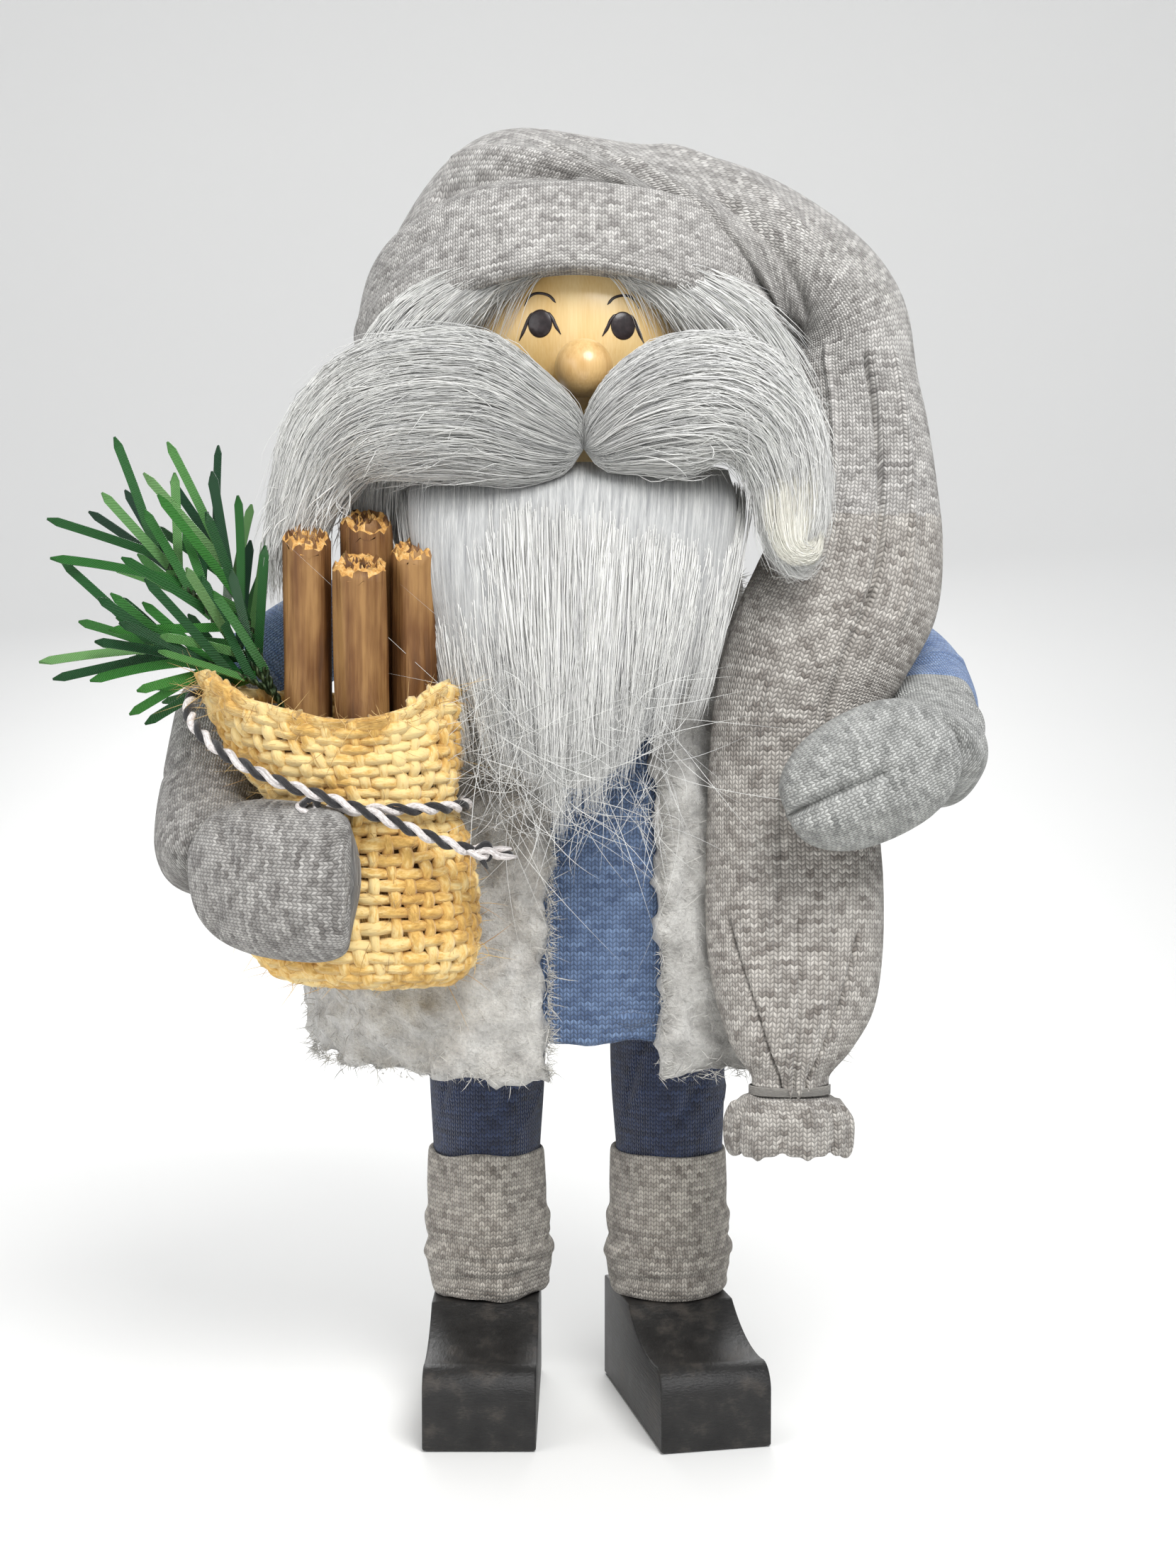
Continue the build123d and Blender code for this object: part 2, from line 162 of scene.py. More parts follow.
def along(points, step=0.5 * MM):
    """Points an even step apart on the soft curve pulled by the given points."""
    curve = bpy.data.curves.new("line", "CURVE")
    curve.dimensions = "3D"
    spline = curve.splines.new("NURBS")
    spline.points.add(len(points) - 1)
    for control, point in zip(spline.points, points):
        control.co = (*point, 1)
    spline.order_u = 3
    spline.use_endpoint_u = True
    spline.resolution_u = 16
    holder = bpy.data.objects.new("line", curve)
    mesh = bpy.data.meshes.new_from_object(holder)
    line = np.array([vertex.co for vertex in mesh.vertices])
    bpy.data.meshes.remove(mesh)
    bpy.data.objects.remove(holder)
    bpy.data.curves.remove(curve)
    runs = np.r_[0, np.cumsum(np.linalg.norm(np.diff(line, axis=0), axis=1))]
    places = np.linspace(0, runs[-1], max(4, int(runs[-1] / step)))
    return np.stack([np.interp(places, runs, line[:, axis]) for axis in range(3)], 1), places


def across(line):
    """Two vectors square to a line, that don't spin round it."""
    ahead = np.gradient(line, axis=0)
    ahead /= np.linalg.norm(ahead, axis=1)[:, None]
    side = np.cross(ahead[0], (0.2, 0.3, 1.0))
    sides = []
    for direction in ahead:
        side = side - direction * side.dot(direction)
        side = side / np.linalg.norm(side)
        sides.append(side)
    return np.array(sides), np.cross(ahead, sides)


def mesh_piece(name, points, quads, uvs, materials, material_of=None):
    """A piece from points and faces worked out in code, with one (u, v) for each point."""
    mesh = bpy.data.meshes.new(name)
    mesh.from_pydata([tuple(p) for p in points], [], [tuple(q) for q in quads])
    layer = mesh.uv_layers.new(name="thread")
    corners = np.empty(len(mesh.loops), int)
    mesh.loops.foreach_get("vertex_index", corners)
    layer.data.foreach_set("uv", np.asarray(uvs, float)[corners].ravel())
    mesh.polygons.foreach_set("use_smooth", np.ones(len(mesh.polygons), bool))
    for material in materials:
        mesh.materials.append(material)
    if material_of is not None:
        mesh.polygons.foreach_set("material_index", material_of)
    piece = bpy.data.objects.new(name, mesh)
    bpy.context.collection.objects.link(piece)
    return piece


def tubes(name, lines, radii, materials, sides=8):
    """Closed tubes round lines in one piece, the materials taken in turn."""
    points, faces, uvs, material_of = [], [], [], []
    turn = np.linspace(0, 2 * math.pi, sides, endpoint=False)
    for index, (line, radius) in enumerate(zip(lines, radii)):
        line = np.asarray(line)
        side, up = across(line)
        radius = np.broadcast_to(radius, len(line))[:, None, None]
        ring = side[:, None] * np.cos(turn)[:, None] + up[:, None] * np.sin(turn)[:, None]
        first = sum(map(len, points))
        points.append((line[:, None] + ring * radius).reshape(-1, 3))
        grid = first + np.arange(len(line) * sides).reshape(len(line), sides)
        after = np.roll(grid, -1, axis=1)
        walls = np.stack([grid[:-1], after[:-1], after[1:], grid[1:]], -1).reshape(-1, 4)
        faces += walls.tolist() + [grid[0][::-1].tolist(), grid[-1].tolist()]
        material_of += [index % len(materials)] * (len(walls) + 2)
        runs = np.r_[0, np.cumsum(np.linalg.norm(np.diff(line, axis=0), axis=1))]
        uvs.append(np.stack(np.broadcast_arrays(turn[None] / 6.2832 + index, runs[:, None] * 1000), -1)
                   .reshape(-1, 2))
    return mesh_piece(name, np.concatenate(points), faces, np.concatenate(uvs), materials, material_of)


def cotton(name, colour, shade):
    """Spun cotton: fine fibres at a slant along the strand, matt with a faint sheen."""
    material = new_material(name, Roughness=0.85, Sheen_Weight=0.3)
    uv = node(material, "TexCoord", out="UV")
    slant = node(material, "Mapping", {"Vector": uv, "Rotation": (0, 0, 0.5), "Scale": (14, 1.2, 1)})
    fibres = node(material, "TexNoise", {"Vector": slant, "Scale": 1.0, "Detail": 3.0})
    surface(material, node(material, "ValToRGB", {0: fibres}, stops=[(0.3, shade), (0.65, colour)]),
            fibres, 0.0003)
    return material


twine_cottons = [cotton("white_spun_cotton", "#F4EFEC", "#B5ACA8"), cotton("black_spun_cotton", "#2B292B",
        "#0B0A0C")]


strand_lay = 8.2 * MM  # one turn of the two strands round each other
strand_offset, strand_radius = 0.24, 0.28  # as shares of the twine's width


def laid_twine(name, cord_node, route):
    """Two strands laid round the route as one free cord."""
    line, places = along(route)
    side, up = across(line)
    strands = []
    for start in (0, math.pi):
        turn = (places / strand_lay * 2 * math.pi + start)[:, None]
        strands.append(line + (side * np.cos(turn) + up * np.sin(turn)) * twine_width * strand_offset)
    piece = tubes(name, strands, [twine_width * strand_radius] * 2, twine_cottons, sides=10)
    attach(piece, "right_arm")
    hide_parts(cord_node)


def twine_knot(name, centre, loops, tails):
    """A small knot: loops of both strands pulled over each other, and frayed tails."""
    lines, radii = [], []
    turn = np.linspace(0, 2 * math.pi, 33)[:, None]
    for tilt, wide, shift in loops:
        over = np.hstack([np.cos(turn) * wide, np.sin(turn) * 1.7 * math.cos(tilt),
                          np.sin(turn) * 1.7 * math.sin(tilt) + 0.5 * np.sin(2 * turn)])
        lines.append(np.array(centre) + (over + shift) * MM)
        radii.append(0.72 * MM)
    for tail in tails:
        line, places = along([Vector(centre) + Vector(p) * MM for p in tail], 0.4 * MM)
        lines.append(line)
        radii.append(np.interp(places, [0, places[-1] - 0.002, places[-1]], [0.72, 0.7, 0.3]) * MM)
    piece = tubes(name, lines, radii, twine_cottons, sides=8)
    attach(piece, "right_arm")
    return piece


end_knot = twine_knot("twine_end_knot", at(-20, -62.5, 133.3),
                      [(0.5, 1.9, (-0.4, 0, 0)), (2.2, 1.5, (0.6, -0.3, 0.1))],
                      [[(-1, -1, 0), (2.0, -2, 1.0), (4.0, -1.5, -1.2), (7.5, 0, -1.0)],
                       [(0, -0.5, 0), (0.6, -1.8, -2), (1.6, -1.0, -3.4)],
                       [(1, 0, 0), (4.0, -0.6, 0.8), (6.5, 0.8, 0.6)]])
front_knot = twine_knot("twine_front_knot", at(-55, -68.4, 143.2),
                        [(0.9, 1.8, (0, 0, 0)), (2.4, 1.6, (0.6, -0.4, 0.2))], [])
laid_twine("mitten_twine", "twine_strap",
           [at(-59, -28, 157), at(-69, -28.5, 163), at(-78, -33.5, 167), at(-83, -44, 166),
            at(-81.5, -57, 160.5), at(-73, -66, 154), at(-62, -69.5, 148.5), at(-51, -70, 145),
            at(-40, -69, 141), at(-30, -66, 136.5), at(-21, -62, 133), at(-14, -58, 132.5)])
laid_twine("neck_twine", "twine_neck",
           [at(-56, -65.6, 142.4), at(-44, -66.6, 142.2), at(-31, -63, 142.2), at(-23.2, -53.8, 142.3),
            at(-24, -41, 142.5), at(-34.6, -31.5, 142.6), at(-49, -30, 142.6), at(-61, -34, 142.5),
            at(-67.7, -44, 142.4), at(-66, -57, 142.4)])

# ---------------------------------------------------------------------------------------------
# Shoes: two clog blocks sawn from wood, edges eased with sandpaper and brushed with a satin
# black paint that fills the grain but lets it show as fine furrows.


def eased_copy(node_name, name, width):
    """The node's solid with its sharp edges rounded."""
    bpy.ops.object.select_all(action="DESELECT")
    piece = bpy.data.objects.new(name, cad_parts[node_name].data.copy())
    bpy.context.collection.objects.link(piece)
    piece.data.materials.clear()
    piece.select_set(True)
    bpy.context.view_layer.objects.active = piece
    bpy.ops.object.mode_set(mode="EDIT")
    bpy.ops.mesh.select_all(action="SELECT")
    bpy.ops.mesh.remove_doubles(threshold=0.000005)
    bpy.ops.mesh.dissolve_limited(angle_limit=math.radians(1))
    bpy.ops.object.mode_set(mode="OBJECT")
    bevel = piece.modifiers.new("eased", "BEVEL")
    bevel.width = width
    bevel.segments = 3
    bevel.angle_limit = math.radians(32)
    bpy.ops.object.modifier_apply(modifier="eased")
    bpy.ops.object.shade_smooth_by_angle(angle=math.radians(40))
    return piece


def black_paint():
    """Satin black paint on sawn wood: fine furrows of the grain and a few rubbed spots."""
    material = new_material("satin_black_paint", Specular_IOR_Level=0.42)
    place = node(material, "TexCoord", out="Object")
    grain = node(material, "Mapping", {"Vector": place, "Scale": (900, 160, 2600)})
    furrows = node(material, "TexNoise", {"Vector": grain, "Scale": 1.0, "Detail": 4.0, "Roughness": 0.6})
    rubbed = node(material, "TexNoise", {"Vector": place, "Scale": 160.0, "Detail": 4.0})
    mixed = node(material, "Math", {0: furrows, 1: 0.35, 2: rubbed}, operation="MULTIPLY_ADD")
    colour = node(material, "ValToRGB", {0: mixed}, stops=[(0.45, "#141313"), (0.72, "#232221"), (0.95,
            "#45403B")])
    gloss = node(material, "MapRange", {0: rubbed, 3: 0.36, 4: 0.56})
    surface(material, colour, furrows, 0.0002, gloss)
    return material


shoe_paint = black_paint()
for side in ("right", "left"):
    shoe = eased_copy(side + "_shoe", side + "_clog", 1.1 * MM)
    shoe.data.materials.append(shoe_paint)
    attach(shoe, "figure")
    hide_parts(side + "_shoe")

# ---------------------------------------------------------------------------------------------
# Legs: a dowel in each shoe, a trouser leg of navy jersey pulled over it, and over the ankle a
# warmer of beige-grey marl jersey, folded double and left in two slouching folds.
wale = 1.3 * MM
course = 1.0 * MM
UP = (0, 0, 1)


def plain_wood(name, pale, dark, ring_spacing, roughness, coat=0.0):
    """Pale wood with upright grain: fine streaks over broad year rings."""
    material = new_material(name, Roughness=roughness, Coat_Weight=coat, Coat_Roughness=0.2)
    place = node(material, "TexCoord", out="Object")
    upright = node(material, "Mapping", {"Vector": place, "Scale": (1 / ring_spacing, 1 / ring_spacing, 12)})
    rings = node(material, "TexNoise", {"Vector": upright, "Scale": 0.5, "Detail": 2.0, "Distortion": 0.4})
    fine = node(material, "Mapping", {"Vector": place, "Scale": (2600, 2600, 90)})
    streaks = node(material, "TexNoise", {"Vector": fine, "Scale": 1.0, "Detail": 3.0})
    mixed = node(material, "Math", {0: streaks, 1: 0.45, 2: rings}, operation="MULTIPLY_ADD")
    surface(material, node(material, "ValToRGB", {0: mixed}, stops=[(0.45, pale), (0.9, dark)]), streaks,
            0.00004)
    return material


core_wood = plain_wood("sawn_pine", "#DDC193", "#B88F58", 3 * MM, 0.7)
for inner in ("right_leg_dowel", "left_leg_dowel", "torso_block", "neck_dowel"):
    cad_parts[inner].data.materials.clear()
    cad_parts[inner].data.materials.append(core_wood)


def eased(stops, count):
    """Rows of numbers that pass smoothly through the given rows."""
    stops = np.array(stops, float)
    place = np.linspace(0, len(stops) - 1, count)
    index = np.minimum(place.astype(int), len(stops) - 2)
    t = (place - index)[:, None]
    padded = np.vstack([2 * stops[0] - stops[1], stops, 2 * stops[-1] - stops[-2]])
    a, b, c, d = (padded[index + k] for k in range(4))
    return b + 0.5 * t * (c - a + t * (2 * a - 5 * b + 4 * c - d + t * (3 * (b - c) + d - a)))


def rolled(name, rings, columns, rows, folds=(), lumps=0.15, seed=1):
    """A knitted tube: a grid rolled round rings of x, y, z, half width, half depth and the way that
    the tube runs.  Folds are lines on it, from (turn, run) to (turn, run), each with a width and a
    depth in mm.  Its UV map counts stitches, with the seam at the back."""
    ring = eased(rings, rows)
    ring[:, 3:5] = np.maximum(ring[:, 3:5], 0)
    ahead = ring[:, 5:8] / np.linalg.norm(ring[:, 5:8], axis=1)[:, None]
    front = np.array([[0, -1, 0]]) + ahead * ahead[:, 1:2]
    front /= np.linalg.norm(front, axis=1)[:, None]
    side = np.cross(ahead, front)
    turn = np.linspace(0, 1, columns)
    angle = 2 * math.pi * turn[None, :, None]
    place = (ring[:, None, :3] - side[:, None] * np.sin(angle) * ring[:, None, 3:4]
             - front[:, None] * np.cos(angle) * ring[:, None, 4:5])
    around = np.linalg.norm(np.diff(place, axis=1), axis=2).sum(1)
    steps = np.linalg.norm(np.diff(place, axis=0), axis=2).mean(1)
    run = np.r_[0, np.cumsum(steps)]
    normal = np.cross(np.gradient(place, axis=1), np.gradient(place, axis=0))
    normal[:, 0] = normal[:, -1] = normal[:, 0] + normal[:, -1]
    normal /= np.maximum(np.linalg.norm(normal, axis=2), 1e-12)[..., None]
    lift = np.zeros(place.shape[:2])
    random = np.random.default_rng(seed)
    for _ in range(10):
        waves, rate = random.integers(0, 6), random.uniform(0.02, 0.12)
        lift += lumps * 0.5 * np.sin(2 * math.pi * waves * turn[None] + rate * run[:,
                None] + random.uniform(0, 6.3))
    share = run[:, None] / run[-1]
    for (turn_0, run_0), (turn_1, run_1), wide, depth in folds:
        scale = np.array([around.max(), run[-1]])
        away = np.stack([np.broadcast_to((turn[None] - turn_0 + 0.5) % 1 - 0.5, lift.shape),
                         np.broadcast_to(share - run_0, lift.shape)], -1) * scale
        line = np.array([turn_1 - turn_0, run_1 - run_0]) * scale
        part = np.clip((away @ line) / (line @ line), 0, 1)
        gap = np.linalg.norm(away - part[..., None] * line, axis=-1)
        lift += depth * np.exp(-(gap / wide) ** 2)
    ends = np.minimum(ring[:, 3] / 4, 1)[:, None]
    place = place + normal * (lift * ends)[..., None]
    bpy.ops.object.select_all(action="DESELECT")
    bpy.ops.mesh.primitive_grid_add(x_subdivisions=columns - 1, y_subdivisions=rows - 1)
    piece = bpy.context.object
    piece.name = name
    mesh = piece.data
    mesh.vertices.foreach_set("co", (place.reshape(-1, 3) * MM + np.array(stand)).ravel())
    stitches = np.stack(np.broadcast_arrays((turn[None] - 0.5) * around[:, None] * MM / wale,
                                            run[:, None] * MM / course), -1).reshape(-1, 2)
    corners = np.empty(len(mesh.loops), int)
    mesh.loops.foreach_get("vertex_index", corners)
    mesh.uv_layers.active.data.foreach_set("uv", stitches[corners].ravel())
    bpy.ops.object.mode_set(mode="EDIT")
    bpy.ops.mesh.select_all(action="SELECT")
    bpy.ops.mesh.remove_doubles(threshold=0.00001)
    bpy.ops.mesh.normals_make_consistent(inside=False)
    bpy.ops.object.mode_set(mode="OBJECT")
    bpy.ops.object.shade_smooth()
    return piece


def jersey(name, light, dark, marl, depth=0.32 * MM):
    """Machine-knitted jersey: upright rows of small V stitches in matt yarn, with painted shade
    darkening the gaps between the stitches.  Marl is how far single stitches and streaks along the
    courses differ in tone, from 0 to 1."""
    material = new_material(name, Roughness=0.9, Sheen_Weight=0.25, Sheen_Roughness=0.6,
                            Specular_IOR_Level=0.2)
    uv = node(material, "SeparateXYZ", {0: node(material, "TexCoord", out="UV")})
    x = uv
    y = uv.node.outputs[1]
    slant = node(material, "Math", {0: x, 1: 0.5}, operation="PINGPONG")
    centre = node(material, "Math", {0: slant, 1: 2.0}, operation="MULTIPLY")
    phase = node(material, "Math", {0: centre, 1: -0.55, 2: y}, operation="MULTIPLY_ADD")
    leg = node(material, "Math", {0: phase}, operation="FRACT")
    leg_arch = node(material, "Math", {0: node(material, "Math", {0: leg, 1: math.pi}, operation="MULTIPLY")},
                    operation="SINE")
    wale_arch = node(material, "Math", {0: node(material, "Math", {0: centre, 1: math.pi},
                                                operation="MULTIPLY")},
                     operation="SINE")
    height = node(material, "Math", {0: leg_arch, 1: wale_arch}, operation="MULTIPLY")
    stitch = node(material, "CombineXYZ", {0: node(material, "Math", {0: x}, operation="FLOOR"),
                                           1: node(material, "Math", {0: phase}, operation="FLOOR")})
    spot = node(material, "TexWhiteNoise", {"Vector": stitch}, noise_dimensions="3D")
    yarn_run = node(material, "CombineXYZ", {0: x, 1: node(material, "Math", {0: phase}, operation="FLOOR")})
    drawn = node(material, "Mapping", {"Vector": yarn_run, "Scale": (0.3, 0.8, 1)})
    streak = node(material, "TexNoise", {"Vector": drawn, "Scale": 1.0, "Detail": 3.0, "Roughness": 0.6})
    cloud = node(material, "TexNoise", {"Vector": drawn, "Scale": 0.15, "Detail": 2.0})
    tone = node(material, "Math", {0: spot, 1: 0.5 * marl, 2: streak}, operation="MULTIPLY_ADD")
    tone = node(material, "Math", {0: cloud, 1: 0.1 + 0.25 * marl, 2: tone}, operation="MULTIPLY_ADD")
    middle = 0.55 + 0.375 * marl
    yarn = node(material, "ValToRGB", {0: tone}, stops=[(middle - 0.22, dark), (middle + 0.2, light)])
    # Painted shade: the yarn colour is multiplied darker where the stitch height is low, in the gaps between
    # the stitches.
    gap = node(material, "MapRange", {0: height, 2: 0.55, 3: 0.45, 4: 1.0})
    colour = node(material, "Mix", {0: 1.0, 6: yarn, 7: gap}, 2, data_type="RGBA", blend_type="MULTIPLY")
    surface(material, colour, height, depth)
    return material


navy_jersey = jersey("navy_cotton_jersey", "#3D4B6E", "#1D2338", 0.25)
warmer_jersey = jersey("beige_marl_jersey", "#CFC8BD", "#7F776E", 0.5)
for side, x, seed in (("right", -21.5, 3), ("left", 21.5, 4)):
    lean = math.copysign(1, x)
    trouser = rolled(side + "_trouser_jersey",
                     [(x, 0, 27, 0, 0, *UP), (x, 0, 27, 11.8, 11.8, *UP), (x, 0, 45, 12, 12, *UP),
                      (x, 0, 58, 12.5, 12.5, *UP), (x, 0, 72, 13.4, 13.3, *UP), (x, 0, 84, 13.8, 13.8, *UP),
                      (x, 0, 89.4, 13.6, 13.6, *UP), (x, 0, 89.4, 0, 0, *UP)], 97, 80,
                     [((0.36, 0.62), (0.46, 0.86), 1.2, -0.7), ((0.52, 0.58), (0.66, 0.8), 1.3, -0.7),
                      ((0.60, 0.55), (0.72, 0.66), 1.0, 0.5), ((0.30, 0.55), (0.42, 0.66), 1.0,
                                                               0.5)], 0.18, seed)
    trouser.data.materials.append(navy_jersey)
    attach(trouser, "figure")
    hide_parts(side + "_trouser_leg")
    warmer = rolled(side + "_ankle_warmer",
                    [(x, 0, 56.5, 12.35, 12.35, *UP), (x, 0, 40, 12.3, 12.3, *UP), (x, 0, 26, 12.2, 12.2,
                            *UP),
                     (x, 0, 24.5, 12.5, 12.5, *UP), (x, 0, 24.7, 13.1, 13.1, *UP), (x, 0, 27, 13.7, 13.6,
                             *UP),
                     (x + 0.2, 0, 31, 14.5, 14.2, *UP), (x + 0.3, 0, 34.5, 14.9, 14.6, *UP),
                     (x, 0, 37, 13.9, 13.8, *UP), (x - 0.1, 0, 39, 14.2, 14.1, *UP),
                     (x, 0, 42, 14.6, 14.4, *UP), (x, 0, 44.5, 13.8, 13.7, *UP), (x, 0, 49, 13.9, 13.8, *UP),
                     (x, 0, 55.5, 13.8, 13.7, *UP), (x, 0, 57.7, 13.6, 13.5, *UP), (x, 0, 58.2, 13.0, 13.0,
                             *UP),
                     (x, 0, 57.8, 12.5, 12.5, *UP), (x, 0, 56.5, 12.35, 12.35, *UP)], 121, 150,
                    [((0.30, 0.52), (0.62, 0.56), 1.0, -0.8), ((0.45, 0.62), (0.75, 0.58), 0.9, -0.7),
                     ((0.25, 0.60), (0.5, 0.64), 1.2, 0.5), ((0.55, 0.50), (0.8, 0.49), 1.4, 0.6),
                     ((0.62, 0.66), (0.9, 0.70), 1.2, 0.4)], 0.25, seed + 6)
    warmer.data.materials.append(warmer_jersey)
    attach(warmer, "figure")
    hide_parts(side + "_leg_warmer")

# ---------------------------------------------------------------------------------------------
# Tunic and vest: a mid-blue jersey tube pulled over the padded block, and over it an open vest
# of grey felted fleece, cut without hems, whose nap stands up in soft lumps.
stuffing = new_material("polyester_stuffing", Base_Color=linear("#EFEFEA"), Roughness=1.0, Sheen_Weight=0.5)
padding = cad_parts["torso_padding"]
padding.data.materials.clear()
padding.data.materials.append(stuffing)
blue_jersey = jersey("mid_blue_jersey", "#7A93B9", "#3E5377", 0.15)
vest_ovals = [(80, 62, 43), (97, 64, 43), (120, 60, 40), (142, 54, 37), (165, 46, 33), (185, 41, 28), (203,
        33, 23),
              (214, 27, 20)]
under = 4.9
tunic_rings = [(0, 0, z, a - under, b - under, *UP) for z, a, b in vest_ovals[2:-1]]
hem = [(0, 0, 96, 0, 0, *UP), (0, 0, 96, 56, 35, *UP), (0, 0, 91, 56.3, 35.6, *UP), (0, 0, 89, 56.9, 36.4,
        *UP),
       (0, 0, 89, 57.6, 37.2, *UP), (0, 0, 90.5, 58, 37.6, *UP), (0, 0, 100, 58, 37.6, *UP)]
tunic = rolled("blue_tunic", hem + tunic_rings + [(0, 0, 207, 23.5, 14, *UP), (0, 0, 208, 0, 0, *UP)], 181,
               150,
               [((0.47, 0.25), (0.50, 0.6), 2.0, -0.7), ((0.53, 0.22), (0.545, 0.5), 2.2, -0.8),
                ((0.50, 0.22), (0.52, 0.4), 2.4, 0.6), ((0.44, 0.3), (0.46, 0.6), 3, 0.5)], 0.3, 21)
tunic.data.materials.append(blue_jersey)
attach(tunic, "figure")
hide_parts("tunic")


def grey_fleece():
    """Felted wool-mix fleece: cloudy greys, quite matt, with painted light: the colour is lighter where the
    fine fuzz bump stands up and darker in its hollows.
    """
    material = new_material("grey_felted_fleece", Roughness=1.0, Sheen_Weight=0.6, Sheen_Roughness=0.8,
                            Specular_IOR_Level=0.1)
    place = node(material, "TexCoord", out="Object")
    lumps = node(material, "TexNoise", {"Vector": place, "Scale": 150.0, "Detail": 4.0, "Roughness": 0.62})
    fuzz = node(material, "TexNoise", {"Vector": place, "Scale": 1400.0, "Detail": 3.0, "Roughness": 0.7})
    # Painted light and shade: the fuzz noise that makes the bump also lightens the raised nap and darkens its
    # hollows; the broad lumps are the fleece's own cloudy tone.
    mixed = node(material, "Math", {0: fuzz, 1: 0.6, 2: lumps}, operation="MULTIPLY_ADD")
    colour = node(material, "ValToRGB", {0: mixed}, stops=[(0.5, "#77746F"), (0.74, "#ACA9A3"), (1.0,
            "#D2D0CA")])
    surface(material, colour, fuzz, 0.0007)
    return material


fleece = grey_fleece()


def fast_mesh(name, points, faces, uvs, material):
    """A piece from arrays of points, of faces with one number of corners, and of (u, v)."""
    mesh = bpy.data.meshes.new(name)
    mesh.vertices.add(len(points))
    mesh.vertices.foreach_set("co", points.ravel())
    mesh.loops.add(faces.size)
    mesh.loops.foreach_set("vertex_index", faces.ravel())
    mesh.polygons.add(len(faces))
    mesh.polygons.foreach_set("loop_start", np.arange(0, faces.size, faces.shape[1]))
    mesh.polygons.foreach_set("use_smooth", np.ones(len(faces), bool))
    mesh.uv_layers.new(name="fibre").data.foreach_set("uv", uvs[faces.ravel()].ravel())
    mesh.update()
    mesh.validate()
    mesh.materials.append(material)
    piece = bpy.data.objects.new(name, mesh)
    bpy.context.collection.objects.link(piece)
    return piece


def fibres(name, lines, radius, material, seed=0):
    """Fine three-sided fibres along lines (count, points, 3) in mm, thin at both ends.  In the UV
    map u is a tone drawn for each fibre and v runs from root to tip."""
    random = np.random.default_rng(seed)
    count, steps = lines.shape[:2]
    ahead = np.gradient(lines, axis=1)
    ahead /= np.linalg.norm(ahead, axis=2, keepdims=True) + 1e-9
    side = np.cross(ahead, np.array((0.31, 0.87, 0.38)))
    side /= np.linalg.norm(side, axis=2, keepdims=True) + 1e-9
    up = np.cross(ahead, side)
    v = np.linspace(0, 1, steps)
    taper = np.minimum(1, np.minimum(v * 5 + 0.35, (1 - v) * 2.2 + 0.12))
    wide = radius * random.uniform(0.65, 1.3, (count, 1)) * taper
    ring = [lines + (side * math.cos(t) + up * math.sin(t)) * wide[..., None] for t in (0, 2.094, 4.189)]
    points = np.stack(ring, 2).reshape(-1, 3) * MM + np.array(stand)
    grid = np.arange(count * steps * 3).reshape(count, steps, 3)
    after = np.roll(grid, -1, axis=2)
    walls = np.stack([grid[:, :-1], after[:, :-1], after[:, 1:], grid[:, 1:]], -1).reshape(-1, 4)
    tone = np.broadcast_to(random.uniform(0, 1, (count, 1, 1)), (count, steps, 3))
    uvs = np.stack([tone, np.broadcast_to(v[None, :, None], tone.shape)], -1).reshape(-1, 2)
    return fast_mesh(name, points, walls, uvs, material)


def vest_point(turn_angle, z, proud=0.0):
    """A point on the vest's outside, turn_angle being in radians from the front."""
    ovals = eased(vest_ovals, 120)
    a = np.interp(z, ovals[:, 0], ovals[:, 1]) + proud
    b = np.interp(z, ovals[:, 0], ovals[:, 2]) + proud
    return np.stack([a * np.sin(turn_angle), -b * np.cos(turn_angle), z], -1)


columns, rows = 230, 100
bpy.ops.object.select_all(action="DESELECT")
bpy.ops.mesh.primitive_grid_add(x_subdivisions=columns - 1, y_subdivisions=rows - 1)
vest = bpy.context.object
vest.name = "fleece_vest"
climb = np.linspace(0, 1, rows)[:, None]
ovals = eased(vest_ovals, 120)
height = 80 + 134 * climb
half_width = np.interp(height, ovals[:, 0], ovals[:, 1])
opening_left = np.arcsin((-6.5 - 1.0 * np.sin(climb * 9)) / half_width)
opening_right = np.arcsin((18.5 + 1.0 * np.sin(climb * 8 + 1)) / half_width) - 2 * math.pi
share = np.linspace(0, 1, columns)[None]
turn = opening_left + (opening_right - opening_left) * share
front_edge = np.exp(-(share * columns / 14) ** 2) + np.exp(-((1 - share) * columns / 14) ** 2)
low = 83 + 1.5 * np.sin(turn * 3 + 1) - 2.5 * front_edge
height = low + (214 - low) * climb
vest.data.vertices.foreach_set("co", (vest_point(turn, height, -0.9).reshape(-1,
        3) * MM + np.array(stand)).ravel())
bpy.ops.object.mode_set(mode="EDIT")
bpy.ops.mesh.select_all(action="SELECT")
bpy.ops.mesh.normals_make_consistent(inside=False)
bpy.ops.object.mode_set(mode="OBJECT")
middle_face = vest.data.polygons[rows // 2 * (columns - 1) + columns // 2]
if middle_face.normal.y < 0:
    vest.data.flip_normals()
wall = vest.modifiers.new("cloth thickness", "SOLIDIFY")
wall.thickness = 3.2 * MM
wall.offset = -1
bpy.ops.object.modifier_apply(modifier="cloth thickness")
for name, size, strength in (("felt lumps", 7.5 * MM, 6.5 * MM), ("nap tufts", 2.6 * MM, 2.2 * MM)):
    clouds = bpy.data.textures.new(name, "CLOUDS")
    clouds.noise_scale = size
    clouds.noise_depth = 1
    lumps = vest.modifiers.new(name, "DISPLACE")
    lumps.texture = clouds
    lumps.texture_coords = "LOCAL"
    lumps.strength = strength
    lumps.mid_level = 0.5
    bpy.ops.object.modifier_apply(modifier=name)
bpy.ops.object.shade_smooth()
vest.data.materials.append(fleece)
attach(vest, "figure")
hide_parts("vest")

